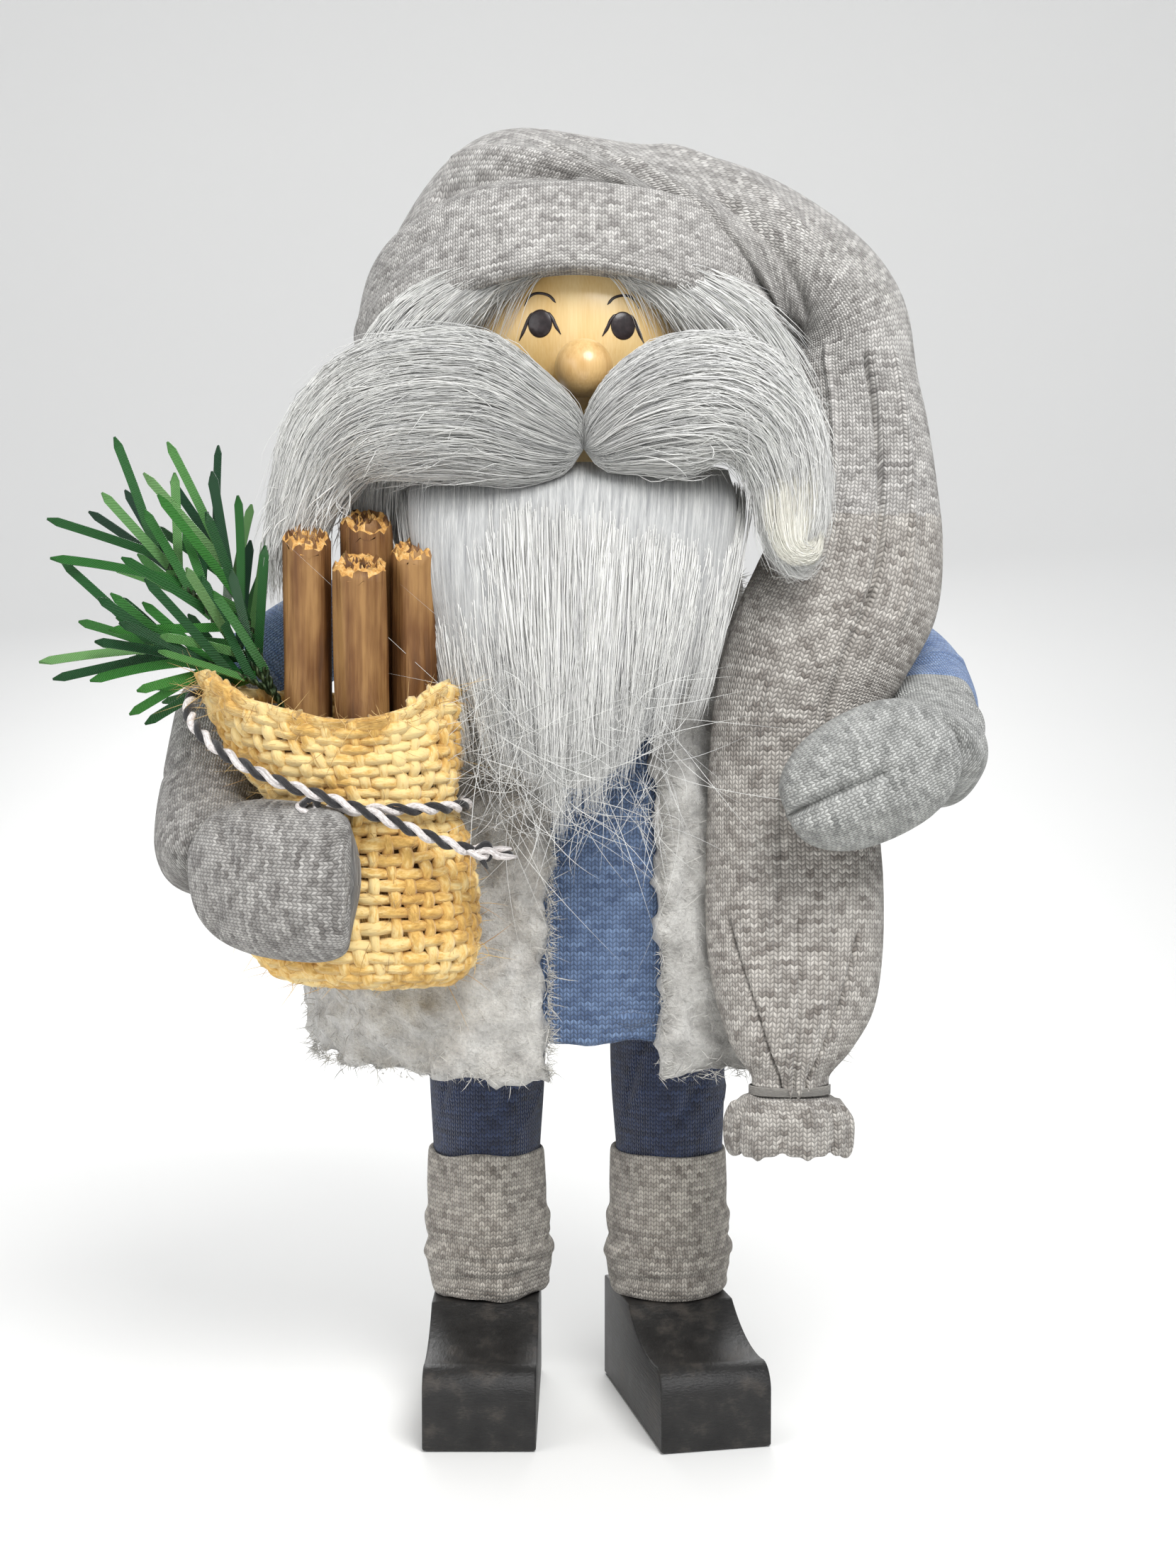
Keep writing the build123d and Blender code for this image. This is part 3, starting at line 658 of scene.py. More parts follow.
random = np.random.default_rng(31)
count = 9000
high = random.uniform(82, 200, count)
around = random.uniform(-1.9, 1.9, count)
edge = np.arange(count) < 2200
on_left = random.uniform(0, 1, count) < 0.5
half_width = np.interp(high, ovals[:, 0], ovals[:, 1])
around[edge] = np.where(on_left, np.arcsin(-6.5 / half_width), np.arcsin(18.5 / half_width))[edge]
bottom = (np.arange(count) >= 2200) & (np.arange(count) < 3200)
high[bottom] = 82.5 + random.normal(0, 0.8, bottom.sum())
bare = (around > np.arcsin(-6.5 / half_width)) & (around < np.arcsin(18.5 / half_width)) & ~edge
around[bare] += 0.9
root = vest_point(around, high, -0.8)
lean = vest_point(around + 0.02, high, 0.2) - root
lean = lean / np.linalg.norm(lean, axis=1, keepdims=True)
lean = lean + random.normal(0, 0.7, (count, 3))
curl = random.normal(0, 0.9, (count, 3))
v = np.linspace(0, 1, 4)[None, :, None]
length = random.uniform(1.0, 2.2, (count, 1, 1))
nap_lines = root[:, None] + lean[:, None] * v * length + curl[:, None] * v ** 2 * length * 0.5


def fibre_material(name, pale, dark, root_painted_shade, roughness=0.45):
    """Fine fibres: each has its own tone, with painted shade darkening it towards the root."""
    material = new_material(name, Roughness=roughness, Sheen_Weight=0.2, Specular_IOR_Level=0.4)
    uv = node(material, "SeparateXYZ", {0: node(material, "TexCoord", out="UV")})
    tone = node(material, "ValToRGB", {0: uv}, stops=[(0.0, dark), (0.55, pale), (1.0, pale)])
    # Painted shade: each fibre is darkened towards its root, where it lies under the others.
    shade = node(material, "MapRange", {0: uv.node.outputs[1], 2: 0.5, 3: root_painted_shade, 4: 1.0})
    colour = node(material, "Mix", {0: 1.0, 6: tone, 7: shade}, 2, data_type="RGBA", blend_type="MULTIPLY")
    surface(material, colour)
    return material


nap = fibres("vest_nap", nap_lines, 0.085, fibre_material("fleece_fibres", "#D6D4CE", "#9A9893", 0.8, 0.9),
             32)
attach(nap, "figure")

# ---------------------------------------------------------------------------------------------
# Head and nose: a turned and varnished beech ball with a smaller wooden bead pegged on.  The
# eyes, lashes and brows are brushed on with near-black enamel.
head_wood = plain_wood("varnished_beech", "#EED59F", "#DDB877", 5 * MM, 0.34, 0.35)
nose_wood = plain_wood("varnished_bead", "#ECCB90", "#C99F62", 3 * MM, 0.3, 0.45)
for part, wood in (("head_ball", head_wood), ("nose_bead", nose_wood)):
    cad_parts[part].data.materials.clear()
    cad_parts[part].data.materials.append(wood)
    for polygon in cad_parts[part].data.polygons:
        polygon.use_smooth = True
head_centre = (0.0, 0.0, 247.0)
head_radius = 36.0
enamel = new_material("near_black_enamel", Roughness=0.35, Coat_Weight=0.2)
enamel_place = node(enamel, "TexCoord", out="Object")
enamel_noise = node(enamel, "TexNoise", {"Vector": enamel_place, "Scale": 900.0, "Detail": 2.0})
surface(enamel, node(enamel, "ValToRGB", {0: enamel_noise}, stops=[(0.35, "#1F1719"), (0.7, "#33292B")]),
        enamel_noise, 0.00005)


def on_head(x, z, proud):
    """The head's surface behind a point of the face, a little proud of the wood."""
    z = z - head_centre[2]
    depth = np.sqrt(head_radius ** 2 - x ** 2 - z ** 2)
    scale = (head_radius + proud) / head_radius
    return np.stack([x * scale, -depth * scale, head_centre[2] + z * scale], -1)


def brush_stroke(points, wide):
    """Two edges of a brushed line through face points (x, z), pointed at its far end."""
    line = eased(points, 24)
    ahead = np.gradient(line, axis=0)
    ahead /= np.linalg.norm(ahead, axis=1)[:, None]
    square = np.stack([-ahead[:, 1], ahead[:, 0]], 1)
    v = np.linspace(0, 1, 24)[:, None]
    half = wide / 2 * np.minimum(1, np.minimum(v * 8 + 0.3, (1 - v) * 3 + 0.25))
    return line + square * half, line - square * half


paint_points, paint_faces = [], []
for eye_x, eye_z, outward in ((-8.0, 246.0, -1), (10.0, 245.6, 1)):
    turn = np.linspace(0, 2 * math.pi, 32, endpoint=False)
    first = len(paint_points)
    for ring, proud in ((0.02, 0.24), (0.5, 0.22), (0.9, 0.18), (1.0, 0.02)):
        x = eye_x + 2.65 * ring * np.cos(turn)
        z = eye_z + 3.05 * ring * np.sin(turn)
        paint_points += on_head(x, z, proud).tolist()
    for ring in range(3):
        for step in range(32):
            a, b = first + ring * 32 + step, first + ring * 32 + (step + 1) % 32
            paint_faces.append((a, a + 32, b + 32, b))
    paint_faces.append(tuple(first + step for step in range(32)))
    strokes = [([(1.6, 2.4), (2.6, 0.9), (3.5, -1.2), (4.6, -3.5)], 0.75),
               ([(-1.6, 2.4), (-2.7, 1.0), (-3.4, -0.6), (-4.5, -2.4)], 0.75),
               ([(-3.4, 4.4), (-1.9, 6.0), (0.4, 6.6), (2.2, 6.0), (3.5, 3.9)], 0.62)]
    for points, wide in strokes:
        points = [(eye_x + outward * x, eye_z + z) for x, z in points]
        left, right = brush_stroke(points, wide)
        middle = (left + right) / 2
        first = len(paint_points)
        for edge_line, proud in ((left, 0.02), (middle, 0.17), (right, 0.02)):
            paint_points += on_head(edge_line[:, 0], edge_line[:, 1], proud).tolist()
        for row in (0, 24):
            for step in range(23):
                a = first + row + step
                paint_faces.append((a, a + 1, a + 25, a + 24) if outward > 0 else (a, a + 24, a + 25, a + 1))
paint = mesh_piece("painted_eyes", np.array(paint_points) * MM + np.array(stand), paint_faces,
                   np.zeros((len(paint_points), 2)), [enamel])
bpy.ops.object.select_all(action="DESELECT")
paint.select_set(True)
bpy.context.view_layer.objects.active = paint
bpy.ops.object.mode_set(mode="EDIT")
bpy.ops.mesh.select_all(action="SELECT")
bpy.ops.mesh.normals_make_consistent(inside=False)
bpy.ops.object.mode_set(mode="OBJECT")
thickness = paint.modifiers.new("paint film", "SOLIDIFY")
thickness.thickness = 0.12 * MM
bpy.ops.object.modifier_apply(modifier="paint film")
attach(paint, "figure")

# ---------------------------------------------------------------------------------------------
# Hair, moustache and beard: silver-grey acrylic fur.  The backing is glued to the head under the
# brim and below the nose, and the long fibres are combed outwards and down.
fur = fibre_material("silver_acrylic_fur", "#E9E9E5", "#BDBDBC", 0.75)
warm_fur = fibre_material("yellowed_acrylic_fur", "#EFEDE2", "#C8C5B8", 0.8)


def fur_backing():
    """The dense fur under the outer fibres, combed in fine streaks along the lie; its mid-grey, darker than
    the fibres, is painted shade within the fur.
    """
    material = new_material("fur_underlayer_painted_shade", Roughness=0.8, Sheen_Weight=0.4)
    uv = node(material, "TexCoord", out="UV")
    lie = node(material, "Mapping", {"Vector": uv, "Scale": (2.2, 0.05, 1)})
    streaks = node(material, "TexNoise", {"Vector": lie, "Scale": 1.0, "Detail": 4.0, "Roughness": 0.7})
    # Painted shade: the underlayer is coloured mid-grey to stand for the shade deep in the fur.
    colour = node(material, "ValToRGB", {0: streaks}, stops=[(0.3, "#8B8C8E"), (0.5, "#B3B4B3"), (0.7,
            "#D8D8D5")])
    surface(material, colour, streaks, 0.0008)
    return material


backing = fur_backing()


def combed(rings, count, starts, ends, seed, steps=9, drop=0.0, flare=0.0, wave=0.5, proud=1.0, arc=(0, 1)):
    """Fibres that lie along a tube of rings.  Each starts and ends at its own share of the tube,
    within the ranges, lies between the turns of arc, and its tip may drop and flare, in mm."""
    random = np.random.default_rng(seed)
    ring = eased(rings, 80)
    ahead = ring[:, 5:8] / np.linalg.norm(ring[:, 5:8], axis=1)[:, None]
    front = np.array([[0, -1, 0]]) + ahead * ahead[:, 1:2]
    front /= np.linalg.norm(front, axis=1)[:, None]
    side = np.cross(ahead, front)
    first = random.uniform(*starts, (count, 1))
    last = np.clip(random.uniform(*ends, (count, 1)), first + 0.08, 1)
    v = np.linspace(0, 1, steps)[None]
    share = first + (last - first) * v
    turn = random.uniform(*arc, (count, 1)) + random.normal(0, 0.025, (count, 1)) * v
    angle = 2 * math.pi * turn
    columns = [np.interp(share * 79, np.arange(80), column)[..., None]
               for column in np.hstack([ring[:, :5], side, front]).T]
    centre = np.concatenate(columns[:3], -1)
    outward = -(np.concatenate(columns[5:8], -1) * np.sin(angle)[..., None] * columns[3]
                + np.concatenate(columns[8:], -1) * np.cos(angle)[..., None] * columns[4])
    depth = proud * (1 - 0.13 * random.uniform(0, 1, (count, 1)) ** 2)
    lines = centre + outward * (depth + 0.03 * np.sin(v * 5 + angle))[..., None]
    size = np.linalg.norm(outward, axis=2, keepdims=True) + 1e-6
    lines = lines + outward / size * (flare * random.uniform(0.2, 1, (count, 1)) * v ** 2)[..., None]
    lines[..., 2] -= drop * random.uniform(0.3, 1, (count, 1)) * v ** 2.5
    for axis in range(3):
        phase, rate = random.uniform(0, 6.3, (count, 1)), random.uniform(3, 8, (count, 1))
        lines[..., axis] += wave * random.uniform(0.2, 1, (count, 1)) * np.sin(rate * v + phase) * v
    return lines


def fur_piece(name, lines, material, radius, cad_node, seed):
    """Fibres glued on the head; the CAD node's place is taken by them and their backing."""
    piece = fibres(name, lines, radius, material, seed)
    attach(piece, "figure")
    if cad_node:
        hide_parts(cad_node)
    return piece


def fur_body(name, rings, columns=60, rows=50):
    """The backing under the fibres."""
    body = rolled(name, rings, columns, rows, lumps=0.35, seed=7)
    body.data.materials.append(backing)
    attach(body, "figure")
    return body


def thinner(rings, by):
    """The same rings with less in them."""
    return [(x, y, z, max(a - by, 0), max(b - by, 0), *way) for x, y, z, a, b, *way in rings]


# Moustache: each lobe swells from under the nose; the right one falls past its end in loose
# hanks and the left one turns down into a curl.
right_lobe = [(1.5, -45, 218, 0.2, 0.2, -1, 0, 0.3), (-1, -46, 219, 7, 5, -1, 0, 0.35),
              (-9, -47.5, 222, 12, 9, -1, 0, 0.25), (-20, -48.5, 226.5, 15.5, 11.5, -1, 0, 0.08),
              (-33, -48, 227, 15.5, 12, -1, 0, -0.1), (-45, -45.5, 225, 13.5, 11, -1, 0, -0.35),
              (-54, -43, 219, 9.5, 8, -0.8, 0, -0.9), (-59, -41, 210, 6.5, 6, -0.4, 0, -1),
              (-62, -40, 201, 4, 4, -0.3, 0, -1), (-64, -39.5, 195, 0.5, 0.5, -0.3, 0, -1)]
left_lobe = [(1.5, -45, 218, 0.2, 0.2, 1, 0, 0.3), (4, -46, 219, 6.5, 5, 1, 0, 0.4),
             (11, -47.5, 223.5, 11.5, 9, 1, 0, 0.3), (21, -48.5, 227, 14.5, 11.5, 1, 0, 0.1),
             (32, -48.5, 227.5, 14, 12, 1, 0, -0.35), (41, -47, 223, 11, 10.5, 0.7, 0, -0.9),
             (45.5, -45.5, 214, 8.5, 8, 0.3, 0, -1), (46.5, -44.5, 205, 7, 6.5, 0, 0, -1),
             (46, -44.5, 199, 5, 5, 0, 0, -1), (49, -45, 195.5, 2.8, 3, 1, 0, -0.2),
             (51.8, -45.5, 199, 0.5, 0.5, 0.3, 0, 1)]
for side, lobe, seed in (("right", right_lobe, 41), ("left", left_lobe, 42)):
    # The right backing stops above the sticks, so that they pass under it when the arm turns.
    core = lobe[:-2] + [(-60, -41, 207.5, 0, 0, -0.4, 0, -1)] if side == "right" else lobe
    fur_body("moustache_underlayer_" + side, thinner(core, 1.6))
    parts = [combed(lobe, 1900, (0.0, 0.5), (0.35, 0.95), seed, wave=0.7, drop=1.5),
             combed(lobe, 1300, (0.25, 0.65), (0.7, 1.0), seed + 10, wave=0.8, drop=3.0, flare=1.2),
             combed(lobe, 420, (0.05, 0.6), (0.3, 1.0), seed + 20, wave=1.8, drop=2, flare=3.5, proud=1.02)]
    fur_piece("moustache_fur_" + side, np.concatenate(parts), fur, 0.115, "moustache_" + side, seed)

# Loose hanks that fall from the right lobe's end beside the sticks.
hank = [(-47, -42, 217, 6, 5, -0.5, 0, -1), (-55, -41, 210, 7, 6, -0.4, 0, -1), (-60, -40, 202, 6.5, 5,
        -0.2, 0, -1),
        (-62, -40, 194, 5, 4, -0.1, 0, -1), (-62.5, -40, 187, 3, 3, 0, 0, -1)]
curl = [(42, -47, 222, 8, 7, 0.6, 0, -1), (45.5, -47, 212, 7.5, 6.5, 0.2, 0, -1), (45.5, -47, 203, 6, 5.5,
        0, 0, -1),
        (46.5, -48, 197, 4, 4, 0.6, 0, -0.6), (50, -48, 196.5, 2.5, 3, 0.7, 0, 0.5), (51.5, -47, 200.5, 1,
                1, 0, 0, 1)]
hanks = [combed(hank, 420, (0, 0.3), (0.6, 1.0), 51, wave=1.2, drop=3, flare=1.5, proud=0.9),
         combed(hank, 120, (0, 0.3), (0.3, 0.8), 52, wave=2.0, drop=1, flare=4)]
# An inner hank closes the gap between the lobe and the beard, behind the sticks.
inner_hank = [(-38, -34, 224, 6, 4, -0.3, 0, -1), (-42, -32, 214, 8, 4.5, -0.2, 0, -1),
              (-43, -31, 204, 8, 4.2, -0.05, 0, -1), (-43, -31, 196, 6, 3.6, 0, 0, -1),
              (-43, -31, 188, 1, 1, 0, 0, -1)]
fur_body("hank_underlayer", thinner(inner_hank, 1.0))
hanks.append(combed(inner_hank, 420, (0, 0.3), (0.6, 1.0), 56, wave=0.8, drop=2))
fur_piece("moustache_hanks", np.concatenate(hanks), fur, 0.15, None, 53)
fur_piece("moustache_curl", combed(curl, 650, (0, 0.35), (0.7, 1.0), 54, wave=0.4, proud=0.95), warm_fur,
          0.15, None, 55)

# Hair: combed from the middle of the forehead out over the temples and down behind the moustache.
for side, sign, seed in (("right", -1, 61), ("left", 1, 62)):
    shell = [(x * sign, y, z, a, b, dx * sign, 0, dz) for x, y, z, a, b, dx, dz in (
        (7, -33.5, 258.5, 0.3, 0.3, 1, 0.1), (10, -33.5, 258, 3, 2.5, 1, -0.1), (18, -33, 256, 4.8, 4.5, 1,
                -0.3),
        (27, -30.5, 251, 7.5, 7, 1, -0.6), (36, -26, 243, 9.5, 9, 0.8, -0.9), (42, -21, 232, 10, 10, 0.4, -1),
        (44, -17, 220, 9, 10, 0.1, -1), (44, -15, 207, 1, 1, 0, -1))]
    fur_body("hair_underlayer_" + side, thinner(shell, 1.6))
    parts = [combed(shell, 1500, (0.0, 0.4), (0.35, 1.0), seed, wave=0.5, drop=1.0),
             combed(shell, 160, (0.0, 0.3), (0.2, 0.6), seed + 10, wave=1.2, drop=0, flare=3.0)]
    if sign > 0:
        parts.append(combed(shell, 200, (0.2, 0.5), (0.5, 0.9), seed + 20, wave=1.0, drop=0, flare=7))
    fur_piece("hair_fur_" + side, np.concatenate(parts), fur, 0.14, "hair_" + side, seed)

# Fringe: a few fine fibres that start under the hat and sweep over the corners of the face.
random = np.random.default_rng(66)
fringe_count = 260
sign = np.where(np.arange(fringe_count) % 2, 1, -1)[:, None]
v = np.linspace(0, 1, 8)[None]
root_x = random.uniform(3, 13, (fringe_count, 1))
tip_x = root_x + random.uniform(9, 19, (fringe_count, 1))
root_z = random.uniform(257, 261, (fringe_count, 1))
tip_z = random.uniform(240, 251, (fringe_count, 1))
lift = random.uniform(0.5, 2.6, (fringe_count, 1))
fringe = on_head(sign * (root_x + (tip_x - root_x) * v), root_z + (tip_z - root_z) * v ** 1.7,
                 lift * (0.4 + np.sin(3 * v)))
fur_piece("hair_fringe", fringe, fur, 0.09, None, 67)

# Beard: a flat fall of long locks, dense to the waist of the vest and thinning out to wisps.
beard_rings = [(-1, -35, 214, 34, 5, 0, -0.3, -1), (-1, -42, 206, 35, 7.5, 0, -0.3, -1),
               (-1.5, -46.5, 195, 33.5, 8, 0, -0.15, -1), (-1.5, -48.5, 182, 30, 7, 0, 0, -1),
               (-1.5, -49, 168, 25, 5.5, 0, 0, -1), (-2, -49.5, 157, 17.5, 4.5, 0, 0, -1),
               (-2.5, -49.5, 148, 9, 3.4, 0, 0, -1), (-2.5, -49.5, 146, 0.2, 0.2, 0, 0, -1)]
fur_body("beard_underlayer", beard_rings, 80, 60)
random = np.random.default_rng(71)
count, steps, lock_count = 4300, 8, 46
lock = random.integers(0, lock_count, count)
lock_x = np.linspace(-36, 35, lock_count) + random.normal(0, 0.6, lock_count)
lock_tip = 131 + 0.62 * np.abs(lock_x + 5) + random.uniform(0, 22, lock_count)
lock_lean = random.normal(0, 2.2, lock_count)
root_x = lock_x[lock] + random.normal(0, 1.5, count)
tip_z = lock_tip[lock] + random.exponential(11, count)
tip_z = np.minimum(tip_z, 196)
tip_x = root_x * 0.62 - 1.5 + lock_lean[lock] + (lock_x[lock] - root_x) * 0.5 + random.normal(0, 1.0, count)
v = np.linspace(0, 1, steps)[None]
root_z = 213 - 0.0022 * root_x ** 2 + random.uniform(-3, 1.5, count)
z = root_z[:, None] + (tip_z - root_z)[:, None] * v
x = root_x[:, None] + (tip_x - root_x)[:, None] * v ** 1.3 * np.minimum(1, (root_z - tip_z) / 75)[:, None]
layer = random.uniform(0, 1, count)[:, None]
fall = np.array([(129, -50.3, 3.5), (146, -50.5, 4.3), (160, -50, 5.5), (182, -49, 7.4), (195, -47, 8.4),
                 (206, -42, 8.2), (214, -35, 5.5)])
middle = np.interp(z, fall[:, 0], fall[:, 1])
thick = np.interp(z, fall[:, 0], fall[:, 2])
wide = np.interp(z, [129, 150, 170, 195, 214], [24, 27, 30, 35, 36])
round_off = np.sqrt(np.clip(1 - (x / wide) ** 2 * 0.85, 0.1, 1))
y = middle - thick * round_off * (0.72 + 0.36 * layer) + 3.4 * (1 - round_off) * 2
groove = np.cos((x - lock_x[lock][:, None]) * 2.2) * 0.55
y = y - groove * np.minimum(v * 4, 1)
beard_lines = np.stack([x, y, z], -1)
for axis, size in ((0, 0.8), (1, 0.45), (2, 0.1)):
    phase, rate = random.uniform(0, 6.3, (count, 1)), random.uniform(3, 9, (count, 1))
    beard_lines[..., axis] += size * np.sin(rate * v + phase) * v
fur_piece("beard_fur", beard_lines, fur, 0.13, "beard", 72)
strays = 430
v = np.linspace(0, 1, 12)[None]
start = np.stack([random.uniform(-22, 20, strays), random.uniform(-57, -52, strays),
                  random.uniform(138, 172, strays)], -1)
heading = random.normal(0, 0.75, (strays, 3)) * (1, 0.18, 0.9) + (0, -0.05, -0.75)
bend = random.normal(0, 1.7, (strays, 3)) * (1, 0.12, 0.8)
length = random.uniform(5, 15, (strays, 1, 1))
stray_lines = start[:, None] + length * (heading[:, None] * v[..., None] + bend[:, None] * v[...,
        None] ** 2 * 0.5)
stray_lines[..., 1] = np.clip(stray_lines[..., 1], -61, -50)
fur_piece("beard_strays", stray_lines, fur, 0.065, None, 73)

# ---------------------------------------------------------------------------------------------
# Hat: one long tube of marl jersey sewn up the back.  Its edge is turned up as a thick cuff, its
# peak stands over the head and folds down on the left side, and thread gathers its tip.
hat_jersey = jersey("pale_grey_marl_jersey", "#DDDAD5", "#8E8A86", 0.5)
# Painted shade: the hanging tail and gathered tip take a darker, warmer copy of the hat's jersey, though the
# tube is knitted from one yarn.
shaded_tail_jersey = jersey("hat_jersey_painted_shade", "#D3CEC6", "#857E77", 0.55)
tilt = math.radians(22)
brim_way = (0, math.sin(tilt), math.cos(tilt))


def on_brim(height, half_width, half_depth, x=0.0, way=brim_way):
    """A ring of the hat, square to the tilted brim."""
    return (x, -1 + height * brim_way[1], 237.5 + height * brim_way[2], half_width, half_depth, *way)


hat_rings = [on_brim(3, 30, 28), on_brim(4, 45.4, 42.4), on_brim(14, 45.6, 42.6), on_brim(22, 46, 43),
             (1, 8, 263, 45, 42.5, 0.1, 0.3, 0.94), (10, 5, 273.5, 38, 37, 0.5, 0.1, 0.86),
             (31, 0.5, 268.5, 29.5, 28.5, 0.78, 0, 0.62), (51, -4, 261.5, 18, 20.5, 0.97, 0, -0.1),
             (62, -9, 250.5, 13.8, 13, 0.48, 0, -0.88), (63.6, -12.5, 238, 13.6, 11, 0.05, -0.1, -1),
             (64.5, -16.5, 227, 14.4, 10, 0, -0.2, -1), (64.5, -22, 213, 15.6, 9, 0, -0.3, -1),
             (62.5, -27.5, 200, 18.2, 8.2, -0.1, -0.35, -1), (59, -31, 188, 20.4, 7.4, -0.3, -0.2, -1),
             (53, -33, 176, 20, 6.5, -0.4, -0.1, -1), (48.5, -34, 163, 18.6, 6.2, -0.1, -0.1, -1),
             (47.5, -34.8, 150, 18.6, 6.2, 0, -0.1, -1), (47.5, -35.5, 138, 18.8, 6.4, 0, -0.1, -1),
             (47.8, -37.5, 124, 19.2, 6.8, 0, -0.2, -1), (47.6, -41, 109, 18.8, 7.2, 0, -0.2, -1),
             (47.2, -43.5, 98, 17.2, 7.2, -0.05, -0.15, -1), (46.4, -45.2, 89, 13.5, 6.2, 0, 0, -1),
             (46, -45.5, 83.5, 9.4, 4.7, 0, 0, -1), (46, -45.5, 80.5, 8.2, 4.2, 0, 0, -1),
             (46, -45.5, 79.5, 0, 0, 0, 0, -1)]
crown_folds = [((0.36, 0.135), (0.47, 0.15), 2.2, -2.4), ((0.42, 0.185), (0.56, 0.20), 2.0, -1.8),
               ((0.34, 0.16), (0.50, 0.175), 2.4, 1.6), ((0.36, 0.22), (0.60, 0.26), 2.2, -2.0),
               ((0.40, 0.245), (0.62, 0.30), 2.6, 1.7), ((0.45, 0.29), (0.60, 0.35), 2.4, -2.2),
               ((0.30, 0.28), (0.44, 0.33), 3.0, 1.2), ((0.60, 0.25), (0.68, 0.40), 2.6, -2.0),
               ((0.08, 0.14), (0.25, 0.19), 3.0, -1.6), ((0.92, 0.16), (0.75, 0.24), 3.0, -1.8)]
tail_folds = [((0.49, 0.44), (0.46, 0.62), 1.8, -3.0), ((0.46, 0.62), (0.44, 0.74), 1.7, -2.2),
              ((0.60, 0.42), (0.57, 0.60), 2.2, 1.2), ((0.41, 0.44), (0.39, 0.62), 2.6, 1.2),
              ((0.56, 0.70), (0.60, 0.86), 2.4, 1.0), ((0.52, 0.74), (0.54, 0.88), 1.6, -1.2),
              ((0.64, 0.86), (0.53, 0.985), 1.0, -1.8), ((0.57, 0.84), (0.50, 0.985), 1.1, 1.3),
              ((0.50, 0.86), (0.49, 0.985), 0.9, -1.7), ((0.44, 0.85), (0.47, 0.985), 1.1, 1.3),
              ((0.38, 0.87), (0.45, 0.985), 1.0, -1.6), ((0.05, 0.5), (0.0, 0.75), 3.0, -2.0),
              ((0.14, 0.8), (0.05, 0.98), 1.5, -1.6), ((0.88, 0.8), (0.96, 0.98), 1.5, -1.6)]
hat = rolled("jersey_hat", hat_rings, 201, 380, crown_folds + tail_folds, 0.35, 81)
hat.data.materials.append(hat_jersey)
hat.data.materials.append(shaded_tail_jersey)
# Painted shade: faces below 205 mm take the darker copy of the jersey.
for polygon in hat.data.polygons:
    polygon.material_index = int(polygon.center.z < 0.205)
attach(hat, "figure")
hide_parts("hat_crown", "hat_tail")
cuff = rolled("turned_up_cuff",
              [on_brim(22.5, 45.8, 42.8), on_brim(12, 45.2, 42.2), on_brim(2.5, 45, 42), on_brim(0.4, 46, 43),
               on_brim(-0.4, 47.8, 44.8), on_brim(0.8, 49.6, 46.6), on_brim(4.5, 50.8, 47.6),
               on_brim(12, 51.2, 48), on_brim(19, 50.4, 47.2), on_brim(22.8, 49.2, 46.2),
               on_brim(24.4, 47.6, 44.6), on_brim(23.8, 46.4, 43.4), on_brim(22.5, 45.8, 42.8)], 241, 110,
              [((0.30, 0.62), (0.40, 0.78), 2.0, -0.9), ((0.62, 0.60), (0.70, 0.74), 2.2, -1.0),
               ((0.22, 0.70), (0.34, 0.60), 2.4, 0.8), ((0.74, 0.66), (0.66, 0.82), 2.4, 0.8)], 0.3, 83)
# The turned-up edge arches over the brow: the front of the hat and its cuff is lifted there.
brow_lift, brow_half_width = 3.6, 20
for knitted in (hat, cuff):
    spot = np.array([vertex.co for vertex in knitted.data.vertices]) / MM - np.array(stand) / MM
    at_front = np.clip((-spot[:, 1] - 18) / 16, 0, 1)
    at_edge = np.clip((262 - spot[:, 2]) / 12, 0, 1)
    spot[:, 2] += brow_lift * np.exp(-(spot[:, 0] / brow_half_width) ** 2) * at_front * at_edge * (spot[:,
            2] > 235)
    knitted.data.vertices.foreach_set("co", (spot * MM + np.array(stand)).ravel())
    knitted.data.update()
cuff.data.materials.append(hat_jersey)
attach(cuff, "figure")
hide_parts("hat_cuff")
ruffle_folds = [((t, 0.30), (t + 0.015, 0.78), 0.9, -1.2 if index % 2 else 0.9)
                for index, t in enumerate(np.linspace(0.03, 0.95, 14))]
ruffle = rolled("gathered_tip",
                [(46, -45.5, 79.3, 0, 0, 0, 0, -1), (46, -45.5, 79.2, 8.2, 4.2, 0, 0, -1),
                 (46.2, -45.5, 77.6, 11.5, 6.4, 0, 0, -1), (46.6, -45.5, 74.5, 13.6, 7.6, 0, 0, -1),
                 (46.6, -45.5, 71, 13.9, 7.6, 0, 0, -1), (46.6, -45.5, 68, 13.6, 7.3, 0, 0, -1),
                 (46.6, -45.5, 66.6, 12.6, 6.6, 0, 0, -1), (46.6, -45.5, 67.4, 11.4, 5.6, 0, 0, -1),
                 (46.6, -45.5, 71, 10.5, 4.8, 0, 0, -1), (46.6, -45.5, 73, 0, 0, 0, 0, -1)], 141, 90,
                ruffle_folds, 0.3, 84)
# Painted shade: the gathered tip takes the darker copy of the hat's jersey.
ruffle.data.materials.append(shaded_tail_jersey)
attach(ruffle, "figure")
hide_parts("hat_tip")
winding = np.linspace(0, 2 * math.pi * 6, 240)
thread_line = np.stack([46 + 8.7 * np.cos(winding), -45.5 + 4.8 * np.sin(winding),
                        79.5 + 0.3 * winding / 6.28], 1)
thread = tubes("tip_thread", [thread_line * MM + np.array(stand)], [0.22 * MM], [cotton("grey_thread",
        "#A8A49D", "#77736D")], 6)
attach(thread, "figure")
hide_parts("hat_tip_tie")

